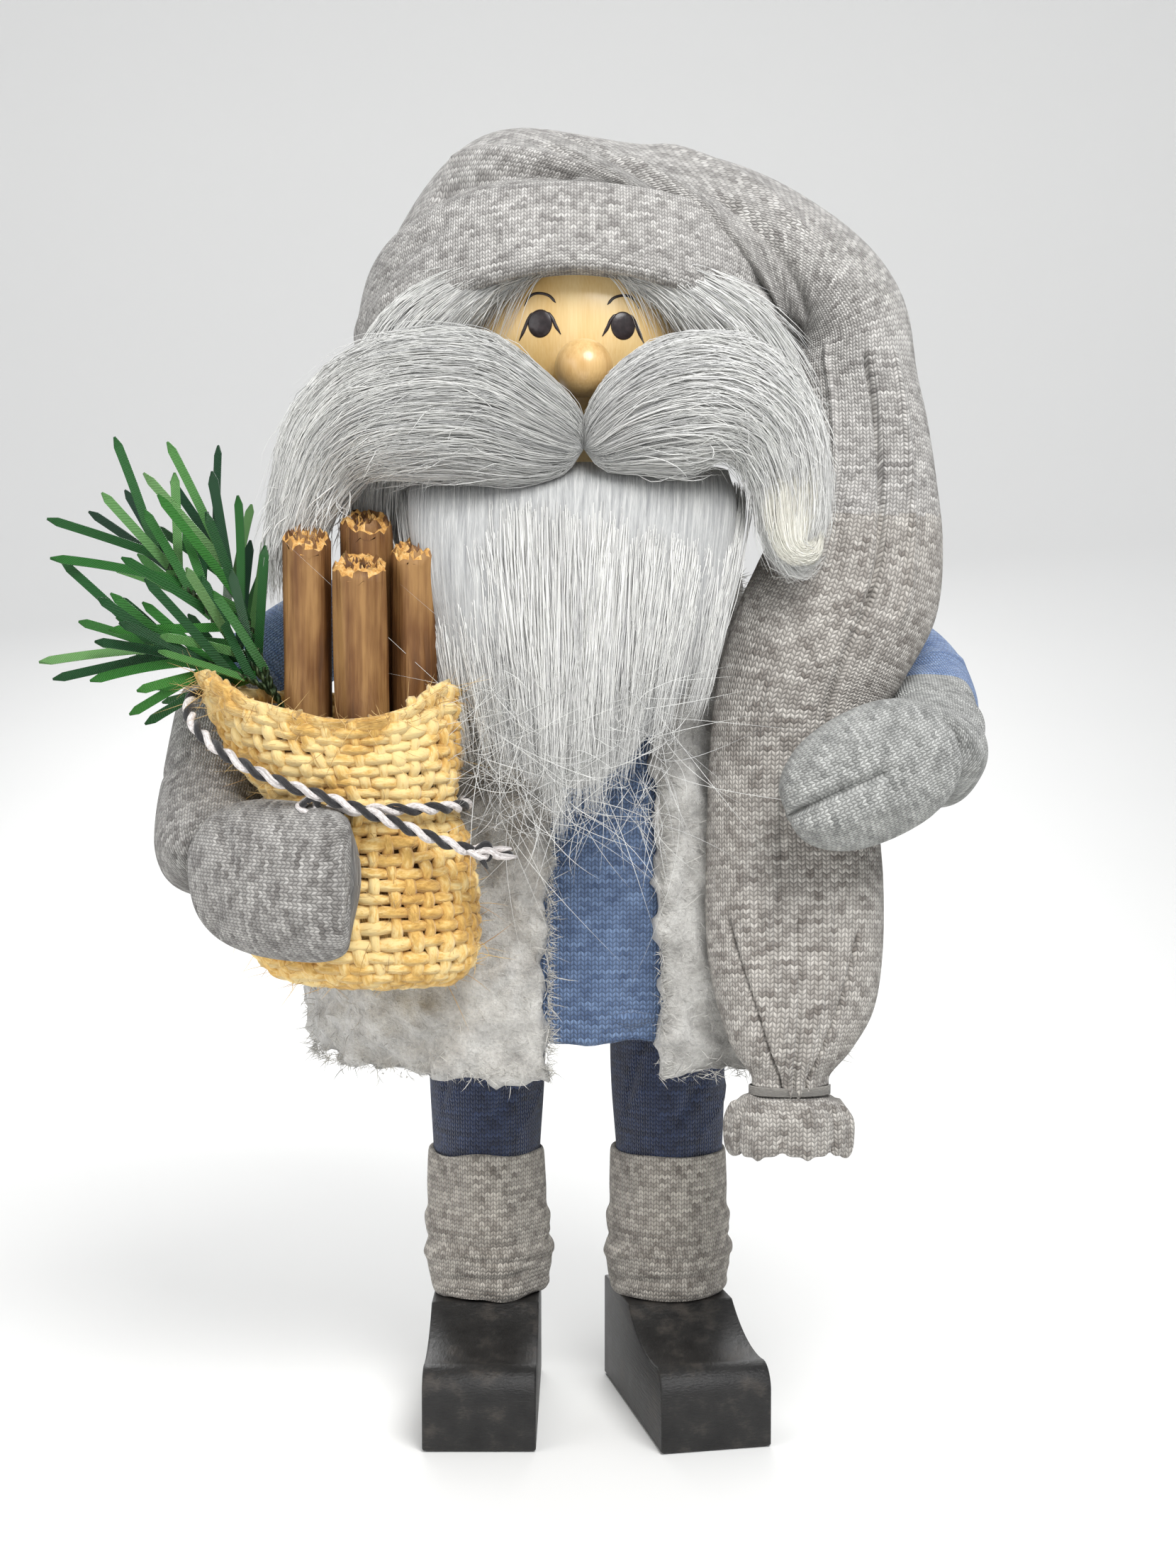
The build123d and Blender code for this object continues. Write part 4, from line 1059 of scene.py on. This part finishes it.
# ---------------------------------------------------------------------------------------------
# Arms: bendable wires in stuffed sleeves of light-blue jersey, forearm cuffs of grey marl, and
# stuffed grey mittens.  The left mitten rests on the hat's tail, the right one holds the sack.
wire_steel = new_material("zinc_plated_wire", Metallic=1.0, Roughness=0.35)
wire_place = node(wire_steel, "TexCoord", out="Object")
wire_noise = node(wire_steel, "TexNoise", {"Vector": wire_place, "Scale": 700.0})
surface(wire_steel, node(wire_steel, "ValToRGB", {0: wire_noise}, stops=[(0.3, "#9A9C9F"), (0.7, "#B9BBBD")]))
for side in ("left", "right"):
    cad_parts[side + "_arm_wire"].data.materials.clear()
    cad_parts[side + "_arm_wire"].data.materials.append(wire_steel)
sky_jersey = jersey("light_blue_jersey", "#9DB6DF", "#5D7DB3", 0.15)
pale_grey_jersey = jersey("pale_grey_mitten_jersey", "#CFD0CC", "#8B8C89", 0.4)
dark_grey_jersey = jersey("mid_grey_mitten_jersey", "#C6C3BE", "#77736F", 0.5)


def limb(points, widths, depths=None):
    """Rings square to a line through points, with a half width for each."""
    points = np.array(points, float)
    ways = np.gradient(points, axis=0)
    ways /= np.linalg.norm(ways, axis=1)[:, None]
    return [(*point, wide, deep, *way)
            for point, wide, deep, way in zip(points, widths, depths or widths, ways)]


def plumped(base, tip, half_width, half_depth):
    """Rings of a stuffed mitten, fullest past the middle and round at both ends."""
    base, tip = np.array(base, float), np.array(tip, float)
    way = (tip - base) / np.linalg.norm(tip - base)
    shape = ((0.0, 0), (0.0, 0.3), (0.04, 0.55), (0.14, 0.8), (0.32, 0.98), (0.55, 1.02), (0.76, 0.93),
             (0.9, 0.73),
             (0.98, 0.5), (1.01, 0.25), (1.015, 0))
    return [(*(base + (tip - base) * share), half_width * full, half_depth * full, *way) for share,
            full in shape]


def stuffed(name, rings, columns, rows, folds, jersey_material, body, cad_node, seed):
    """A knitted, stuffed piece: rolled, puffed out by a short cloth simulation, given its jersey and attached
    to its body.
    """
    piece = rolled(name, rings, columns, rows, folds, 0.25, seed)
    rest = np.array([vertex.co for vertex in piece.data.vertices])
    cloth = piece.modifiers.new("stuffing", "CLOTH")
    cloth.settings.use_pressure = True
    cloth.settings.uniform_pressure_force = 2.0
    cloth.settings.effector_weights.gravity = 0
    cloth.settings.tension_stiffness = 40
    cloth.settings.compression_stiffness = 40
    cloth.point_cache.frame_end = 8
    for step in range(1, 9):
        bpy.context.scene.frame_set(step)
    shaped = piece.evaluated_get(bpy.context.evaluated_depsgraph_get()).to_mesh()
    moved = np.array([vertex.co for vertex in shaped.vertices]) - rest
    piece.modifiers.clear()
    bpy.context.scene.frame_set(1)
    size = np.linalg.norm(moved, axis=1, keepdims=True)
    cap = 0.7 * MM
    rest += moved * np.minimum(1, cap / np.maximum(size, 1e-9))
    piece.data.vertices.foreach_set("co", rest.ravel())
    piece.data.update()
    piece.data.materials.append(jersey_material)
    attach(piece, body)
    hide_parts(cad_node)
    return piece


stuffed("left_sleeve_jersey",
        limb([(50, 3, 186), (51, 3, 185.5), (58, 1, 181.5), (68, -3, 176.5), (76, -8, 170.5), (79.5, -14.5,
                165),
              (79, -23, 160), (78.6, -25, 159)], [0, 7.5, 10.2, 10.6, 11, 10.8, 10.2, 0]), 81, 60,
        [((0.2, 0.45), (0.5, 0.6), 1.4, -0.9), ((0.55, 0.55), (0.8, 0.7), 1.4, -0.8), ((0.3, 0.66), (0.6,
                0.72), 1.4, 0.6)],
        sky_jersey, "left_arm", "left_sleeve", 91)
stuffed("left_forearm_cuff",
        limb([(79, -18, 162), (79, -18.6, 161.6), (79, -19.4, 161.2), (78.6, -24, 159.2), (78, -30, 156.8),
              (77.2, -38, 153.6),
              (76.5, -45, 151.5), (76.2, -48, 151), (76.2, -48.5, 151)],
             [0, 9.6, 11.1, 11.4, 11.5, 11.6, 11.2, 8, 0]), 91, 80,
        [((0.1, 0.3), (0.45, 0.38), 1.3, -0.8), ((0.5, 0.5), (0.85, 0.42), 1.3, -0.8), ((0.3, 0.62), (0.6,
                0.68), 1.2, -0.7),
         ((0.2, 0.48), (0.5, 0.52), 1.4, 0.6)],
        pale_grey_jersey, "left_arm", "left_cuff", 92)
stuffed("left_mitten_jersey", plumped((79, -50, 157), (45, -54.5, 140.5), 13.8, 10.6), 121, 100,
        [((0.50, 0.48), (0.515, 0.99), 1.0, -2.6), ((0.58, 0.5), (0.57, 0.9), 2.6, 0.9), ((0.43, 0.5),
                (0.44, 0.9), 2.6, 0.9),
         ((0.40, 0.30), (0.6, 0.34), 1.5, -0.6)],
        pale_grey_jersey, "left_arm", "left_mitten", 93)
stuffed("right_sleeve_jersey",
        limb([(-50, 3, 186), (-51, 3, 185.5), (-58, 1, 181), (-68, -3.5, 174), (-77, -8.5, 166), (-80.5,
                -15, 159.5),
              (-80.2, -21, 154.6), (-80.2, -22.5, 153.4)], [0, 8, 10.6, 10.8, 10.8, 9.9, 8.2, 0]), 81, 60,
        [((0.2, 0.5), (0.5, 0.62), 1.4, -0.9), ((0.55, 0.5), (0.8, 0.66), 1.4, -0.8), ((0.3, 0.72), (0.6,
                0.76), 1.4, 0.6)],
        sky_jersey, "right_arm", "right_sleeve", 94)
stuffed("right_forearm_cuff",
        limb([(-80, -13, 161), (-80, -13.6, 160.6), (-80, -14.4, 160), (-80, -22, 153.6), (-79.8, -31, 146),
              (-79.3, -40, 138.4),
              (-78.4, -47, 132.6), (-77.6, -51, 130), (-77.4, -51.6, 129.6)],
             [0, 10.4, 11.8, 12, 12.1, 12.4, 12, 9, 0]), 91, 80,
        [((0.1, 0.35), (0.45, 0.42), 1.3, -0.9), ((0.5, 0.55), (0.85, 0.47), 1.3, -0.9), ((0.3, 0.68), (0.6,
                0.74), 1.2, -0.7)],
        dark_grey_jersey, "right_arm", "right_cuff", 95)
square_mitten = [(*(np.array((-80, -53, 128.5)) + np.array((33.5, -17.5, -1.5)) * share), 16.2 * tall,
                  9.4 * deep,
                  0.89, -0.45, -0.03)
                 for share, tall, deep in ((0, 0, 0), (0, 0.4, 0.4), (0.05, 0.66, 0.65), (0.18, 0.88, 0.88),
                                           (0.38, 1, 1),
                                           (0.62, 1.02, 1.0), (0.84, 0.98, 0.86), (0.96, 0.88, 0.6), (1.0,
                                                   0.74, 0.3),
                                           (1.01, 0.5, 0.12), (1.01, 0, 0))]
stuffed("right_mitten_jersey", square_mitten, 121, 100,
        [((0.40, 0.80), (0.62, 0.82), 0.8, -0.8), ((0.36, 0.32), (0.46, 0.40), 1.6, -0.8), ((0.56, 0.34),
                (0.66, 0.28), 1.6, -0.7)],
        dark_grey_jersey, "right_arm", "right_mitten", 96)

# ---------------------------------------------------------------------------------------------
# Sack: a small bag of coarse jute burlap, plain woven from single yarns, gathered at the neck by
# the twine, its raw mouth left open and flaring with stray fibres.
sack_ovals = [(105.5, -43, -48, 6, 4), (105, -43, -48, 14, 9), (107, -44, -48, 19.5, 12.2), (111, -45, -48,
        22.8, 14.2),
              (118, -46, -48, 23.8, 15.2), (126, -46.5, -48, 23.6, 15.2), (134, -46.5, -48, 21.8, 14.8),
              (140, -45.8, -48, 18.8, 14), (142.5, -45.5, -48, 18, 13.8), (146, -46.5, -48, 19.6, 14.4),
              (152, -48.5, -48, 23, 15.6), (159, -50.5, -48, 25.4, 16.2), (166, -51.8, -48, 27.2, 16.8)]


def jute(name, pale, dark):
    """Loosely spun jute: golden fibres along the yarn, rough and matt with a slight sheen."""
    material = new_material(name, Roughness=0.85, Sheen_Weight=0.25, Specular_IOR_Level=0.3)
    uv = node(material, "TexCoord", out="UV")
    spun = node(material, "Mapping", {"Vector": uv, "Rotation": (0, 0, 0.35), "Scale": (9, 0.6, 1)})
    strands = node(material, "TexNoise", {"Vector": spun, "Scale": 1.0, "Detail": 4.0, "Roughness": 0.65})
    patches = node(material, "TexNoise", {"Vector": node(material, "TexCoord", out="Object"), "Scale": 90.0})
    mixed = node(material, "Math", {0: strands, 1: 0.8, 2: patches}, operation="MULTIPLY_ADD")
    colour = node(material, "ValToRGB", {0: mixed}, stops=[(0.55, dark), (0.85, pale), (1.0, "#F0D596")])
    surface(material, colour, strands, 0.0004)
    return material


jute_yarn = jute("golden_jute_yarn", "#DDB365", "#9C6E2C")
# Painted shade: a dark copy of the jute for the shadowed inside of the sack.
jute_shadow = jute("jute_painted_shade", "#7C5523", "#4A3012")


def sack_point(turn, rise, proud):
    """A point of the sack's cloth: turn is an angle from the front, rise runs 0 to 1 to the rim."""
    ring = eased(sack_ovals, 200)
    run = np.r_[0, np.cumsum(np.hypot(np.diff(ring[:, 0]), np.diff(ring[:, 3])))]
    z, x, y, a, b = (np.interp(rise * run[-1], run, column) for column in ring.T)
    flare = np.clip((rise - 0.74) / 0.26, 0, 1) ** 1.5
    z = z + flare * (-5.5 * np.exp(-((turn - 0.15) / 0.75) ** 2) + 4.5 * np.exp(-((turn + 1.5) / 0.6) ** 2)
                     + 3.0 * np.exp(-((turn - 1.05) / 0.4) ** 2))
    wave = flare * 1.2 * np.sin(3 * turn + 0.8) + 0.35 * np.sin(5 * turn + 12 * rise)
    gather = np.exp(-((z - 142.5) / 5) ** 2) * 0.8 * np.cos(11 * turn)
    lift = proud + wave + gather
    return np.stack([x + (a + lift) * np.sin(turn), y - (b + lift) * np.cos(turn), z], -1)


warp_count, weft_count = 36, 24
yarn_lines, yarn_radii = [], []
random = np.random.default_rng(101)
weft_rise = np.linspace(0.1, 0.985, weft_count)
weave = 0.62
for index in range(warp_count):
    turn = -math.pi + 2 * math.pi * index / warp_count
    rise = np.linspace(0.03, 1.0 + random.uniform(0, 0.012), 150)
    crossing = np.interp(rise, weft_rise, np.arange(weft_count))
    over = np.cos(math.pi * (crossing + index)) * weave
    wander = turn + 0.02 * np.sin(rise * 14 + index * 1.7) + random.normal(0, 0.008)
    yarn_lines.append(sack_point(wander, rise, over))
    yarn_radii.append(1.34 * random.uniform(0.85, 1.15) * (1 + 0.12 * np.sin(rise * 60 + index)))
for index, rise_at in enumerate(weft_rise):
    turn = np.linspace(-math.pi, math.pi, 36 * 5 + 1) + 0.01
    over = -np.cos(warp_count * (turn + math.pi) / 2 + math.pi * index) * weave
    rise = rise_at + 0.006 * np.sin(turn * 2 + index) + 0.003 * np.sin(turn * 5 + index * 2)
    yarn_lines.append(sack_point(turn, rise, over))
    yarn_radii.append(1.36 * random.uniform(0.88, 1.15) * (1 + 0.12 * np.sin(turn * 9 + index)))
metres = [line * MM + np.array(stand) for line in yarn_lines]
yarns = tubes("burlap_yarns", metres, [radius * MM for radius in yarn_radii], [jute_yarn], 7)
# Painted shade: a closed dark shell just inside the woven yarns stands for the shadow inside the sack that
# shows through the gaps; the real sack has no lining.
inner_rings = [(x, y, z, max(a - 2.4, 0.5), max(b - 2.4, 0.5), *UP) for z, x, y, a, b in sack_ovals[1:-1]]
outer_rings = [(x, y, z, max(a - 1.2, 0.5), max(b - 1.2, 0.5), *UP) for z, x, y, a, b in sack_ovals[1:-1]]
painted_shade_shell = rolled("sack_painted_shade_shell", [(-43, -48, 106.2, 0, 0, *UP)] + outer_rings + inner_rings[::-1]
                + [(-43, -48, 108.6, 0, 0, *UP)], 73, 110, lumps=0.1, seed=9)
painted_shade_shell.data.materials.append(jute_shadow)
random = np.random.default_rng(103)
count = 900
turn = random.uniform(-2.2, 2.2, count)
rise = np.where(random.uniform(0, 1, count) < 0.35, random.uniform(0.95, 1.0, count), random.uniform(0.1, 1,
        count))
root = sack_point(turn, rise, 0.9)
aim = random.normal(0, 0.7, (count, 3)) + (root - sack_point(turn, rise, -2.0)) / 2.9 * 0.6
v = np.linspace(0, 1, 5)[None, :, None]
length = random.uniform(1.5, 5.0, (count, 1, 1))
bend = random.normal(0, 0.7, (count, 1, 3))
stray_fibres = fibres("jute_stray_fibres", root[:, None] + length * (aim[:,
        None] * v + bend * v ** 2 * 0.6), 0.07,
                      fibre_material("jute_fibres", "#E3C07C", "#A87A38", 0.8, 0.7), 104)
for piece in (yarns, painted_shade_shell, stray_fibres):
    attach(piece, "right_arm")
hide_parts("sack_pouch", "sack_collar")

# ---------------------------------------------------------------------------------------------
# Sticks: four lengths of thin branch with the bark on, cut with shears, so that the pale ends are
# torn and ragged.


def bark():
    """Thin smooth bark: red-brown, rubbed lighter in places, with fine lengthwise furrows."""
    material = new_material("dry_branch_bark", Roughness=0.55, Specular_IOR_Level=0.35)
    place = node(material, "TexCoord", out="Object")
    long_way = node(material, "Mapping", {"Vector": place, "Scale": (700, 700, 26)})
    furrows = node(material, "TexNoise", {"Vector": long_way, "Scale": 1.0, "Detail": 5.0, "Roughness": 0.6})
    patches = node(material, "Mapping", {"Vector": place, "Scale": (160, 160, 42)})
    rubbed = node(material, "TexNoise", {"Vector": patches, "Scale": 1.0, "Detail": 3.0})
    mixed = node(material, "Math", {0: furrows, 1: 0.5, 2: rubbed}, operation="MULTIPLY_ADD")
    colour = node(material, "ValToRGB", {0: mixed}, stops=[(0.5, "#3E2512"), (0.72, "#6F4A27"), (0.92,
            "#9A7446")])
    surface(material, colour, furrows, 0.0005)
    return material


def torn_wood():
    """The torn end: pale splintery wood, with painted shade making it a darker gold in the low spots of the
    splinter bump.
    """
    material = new_material("torn_pale_wood", Roughness=0.75)
    place = node(material, "TexCoord", out="Object")
    splinters = node(material, "TexNoise", {"Vector": place, "Scale": 900.0, "Detail": 4.0, "Roughness": 0.7})
    # Painted shade: the same splinter noise that makes the bump darkens the colour to gold in its low spots.
    colour = node(material, "ValToRGB", {0: splinters}, stops=[(0.3, "#A8702F"), (0.5, "#D9A55A"), (0.72,
            "#F0CF94")])
    surface(material, colour, splinters, 0.0006)
    return material


stick_bark, stick_end = bark(), torn_wood()
random = np.random.default_rng(111)
sticks = {"stick_1": (-57.0, -48, 5.0, 200), "stick_2": (-45.5, -53.4, 5.7, 194),
          "stick_3": (-44.5, -42.2, 5.5, 204), "stick_4": (-34.8, -48, 4.9, 198)}
for name, (x, y, radius, top) in sticks.items():
    bottom, sides, rings = 109.5, 32, 46
    bpy.ops.object.select_all(action="DESELECT")
    bpy.ops.mesh.primitive_grid_add(x_subdivisions=sides, y_subdivisions=rings + 10)
    stick = bpy.context.object
    stick.name = name + "_branch"
    turn = np.linspace(0, 2 * math.pi, sides + 1)[None]
    row = np.arange(rings + 11)[:, None]
    climb = np.clip(row - 2, 0, rings - 1) / (rings - 1)
    bump = sum(0.035 * np.sin(k * turn + random.uniform(2, 9) * climb + random.uniform(0, 6.3)) for k in (2,
            3, 5, 7))
    knot = 0.12 * np.exp(-(((climb - random.uniform(0.55, 0.8)) * 18) ** 2 + (turn - random.uniform(2.4,
            4)) ** 2 * 2))
    inward = np.clip((row - rings - 1) / 9, 0, 1) + np.clip(2 - row, 0, 2) / 2
    wide = radius * (1 + bump + knot) * (1 - inward)
    jag = random.normal(0, 1, (rings + 11, sides + 1))
    jag[:, -1] = jag[:, 0]
    slant = 2.4 * np.cos(turn + random.uniform(-0.5, 0.5)) * (1 - inward)
    ragged = np.where(row >= rings, 1, 0) * (slant + 0.5 * jag * (inward < 1))
    z = bottom + (top - bottom - 1) * climb + ragged + 0.5 * (row >= rings) * np.sin(row * 1.7)
    lean_x, lean_y = random.normal(0, 0.5, 2)
    place = np.stack(np.broadcast_arrays(x + lean_x * climb ** 2 - wide * np.sin(turn),
                                         y + lean_y * climb ** 2 + wide * np.cos(turn), z), -1)
    stick.data.vertices.foreach_set("co", (place.reshape(-1, 3) * MM + np.array(stand)).ravel())
    bpy.ops.object.mode_set(mode="EDIT")
    bpy.ops.mesh.select_all(action="SELECT")
    bpy.ops.mesh.remove_doubles(threshold=0.00002)
    bpy.ops.mesh.normals_make_consistent(inside=False)
    bpy.ops.object.mode_set(mode="OBJECT")
    bpy.ops.object.shade_smooth_by_angle(angle=math.radians(50))
    stick.data.materials.append(stick_bark)
    stick.data.materials.append(stick_end)
    for polygon in stick.data.polygons:
        polygon.material_index = int(polygon.normal.z > 0.45 and polygon.center.z > (top - 6) * MM)
    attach(stick, "right_arm")
    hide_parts(name)

# ---------------------------------------------------------------------------------------------
# Greenery: a sprig of artificial pine, its needles flat strips of ribbed plastic ribbon caught
# between two wires twisted together.


def ribbon():
    """Embossed plastic ribbon: each strip its own green, fine slanted ribs with painted light and shade
    across them, soft shine.
    """
    material = new_material("ribbed_green_ribbon", Roughness=0.42, Specular_IOR_Level=0.45)
    uv = node(material, "SeparateXYZ", {0: node(material, "TexCoord", out="UV")})
    strip = node(material, "Math", {0: uv}, operation="FLOOR")
    tone = node(material, "TexWhiteNoise", {"W": strip}, noise_dimensions="1D")
    colour = node(material, "ValToRGB", {0: tone},
                  stops=[(0.0, "#17432B"), (0.35, "#246A2A"), (0.65, "#46953A"), (0.95, "#86B873")])
    slanted = node(material, "Math", {0: node(material, "Math", {0: uv}, operation="FRACT"), 1: 2.5,
                                      2: uv.node.outputs[1]}, operation="MULTIPLY_ADD")
    ribs = node(material, "Math", {0: node(material, "Math", {0: slanted, 1: 6.2832 * 2.0},
                                           operation="MULTIPLY")},
                operation="SINE")
    # Painted light and shade: the colour is darkened in the troughs of the ribs and left full on their
    # crests.
    painted_rib_light = node(material, "MapRange", {0: ribs, 1: -1.0, 2: 1.0, 3: 0.72, 4: 1.0})
    mixed = node(material, "Mix", {0: 1.0, 6: colour, 7: painted_rib_light}, 2, data_type="RGBA", blend_type="MULTIPLY")
    surface(material, mixed, ribs, 0.00012)
    return material


random = np.random.default_rng(121)
fork = np.array((-66.0, -41, 167))
twigs = [np.array(tip, float) for tip in ((-92, -35, 197), (-91, -42, 176), (-79, -33, 199))]
needle_points, needle_faces, needle_uvs = [], [], []
steps, half_wide, half_thick = 12, 1.0, 0.14
for twig_index, tip in enumerate(twigs):
    along_twig = (tip - fork) / np.linalg.norm(tip - fork)
    side_way = np.cross(along_twig, (0, 1, 0))
    side_way /= np.linalg.norm(side_way)
    out_way = np.cross(along_twig, side_way)
    for index in range(23):
        share = 0.12 + 0.88 * index / 22
        turn = math.radians(137.5 * index + 40 * twig_index)
        away = side_way * math.cos(turn) + out_way * math.sin(turn)
        spread = math.radians(random.uniform(28, 66) * (1.1 - 0.6 * share))
        aim = along_twig * math.cos(spread) + away * math.sin(spread)
        start = fork + (tip - fork) * share
        length = random.uniform(20, 29)
        droop = np.array((0, 0, -1)) * random.uniform(-0.5, 2.5) + away * random.uniform(-2, 1.5)
        v = np.linspace(0, 1, steps)[:, None]
        line = start + aim * length * v + droop * v ** 2
        if line[-1][0] > -60 or line[-1][1] > -14 or line[-1][2] < 158:
            continue
        way = np.gradient(line, axis=0)
        way /= np.linalg.norm(way, axis=1)[:, None]
        flat = np.cross(way, (0.25 * random.normal(), -1, 0.25 * random.normal()))
        flat /= np.linalg.norm(flat, axis=1)[:, None]
        thin = np.cross(way, flat)
        wide = half_wide * np.sqrt(np.clip(1 - np.clip((v - 0.9) / 0.1, 0, 0.97) ** 2, 0, 1))
        corners = [line + flat * wide * s + thin * half_thick * t for s, t in ((-1, -1), (1, -1), (1, 1),
                (-1, 1))]
        first = len(needle_points) * 4 * steps
        needle_points.append(np.stack(corners, 1).reshape(-1, 3))
        grid = first + np.arange(steps * 4).reshape(steps, 4)
        after = np.roll(grid, -1, axis=1)
        needle_faces += np.stack([grid[:-1], after[:-1], after[1:], grid[1:]], -1).reshape(-1, 4).tolist()
        needle_faces += [grid[0][::-1].tolist(), grid[-1].tolist()]
        tone = len(needle_points) - 1 + np.tile((0.1, 0.9, 0.9, 0.1), steps)
        needle_uvs.append(np.stack([tone, np.repeat(v[:, 0] * length, 4)], -1))
points = np.concatenate(needle_points) * MM + np.array(stand)
needles = mesh_piece("ribbon_needles", points, needle_faces, np.concatenate(needle_uvs), [ribbon()])
needles.data.polygons.foreach_set("use_smooth", np.zeros(len(needles.data.polygons), bool))
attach(needles, "right_arm")
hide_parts("sprig_needles")
stem_wire = new_material("green_lacquered_wire", Metallic=0.6, Roughness=0.45)
stem_noise = node(stem_wire, "TexNoise", {"Vector": node(stem_wire, "TexCoord", out="Object"),
                                          "Scale": 800.0})
surface(stem_wire, node(stem_wire, "ValToRGB", {0: stem_noise}, stops=[(0.35, "#23351F"), (0.7, "#4B5B39")]))
stem_route = [np.array(p, float) for p in ((-53, -40.5, 113), (-54, -40.5, 147), (-62, -41, 160), (-66, -41,
        167))]
wires = []
for tip in twigs:
    line, places = along([Vector(p) * MM for p in (*stem_route, (fork + tip) / 2 + (0, 0, 0.5), tip)])
    side, up = across(line)
    for start in (0, math.pi):
        turn = (places / (4 * MM) * 2 * math.pi + start)[:, None]
        wires.append(line + (side * np.cos(turn) + up * np.sin(turn)) * 0.4 * MM + np.array(stand))
stem = tubes("twisted_stem_wires", wires, [0.42 * MM] * len(wires), [stem_wire], 6)
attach(stem, "right_arm")
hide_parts("sprig_stem")
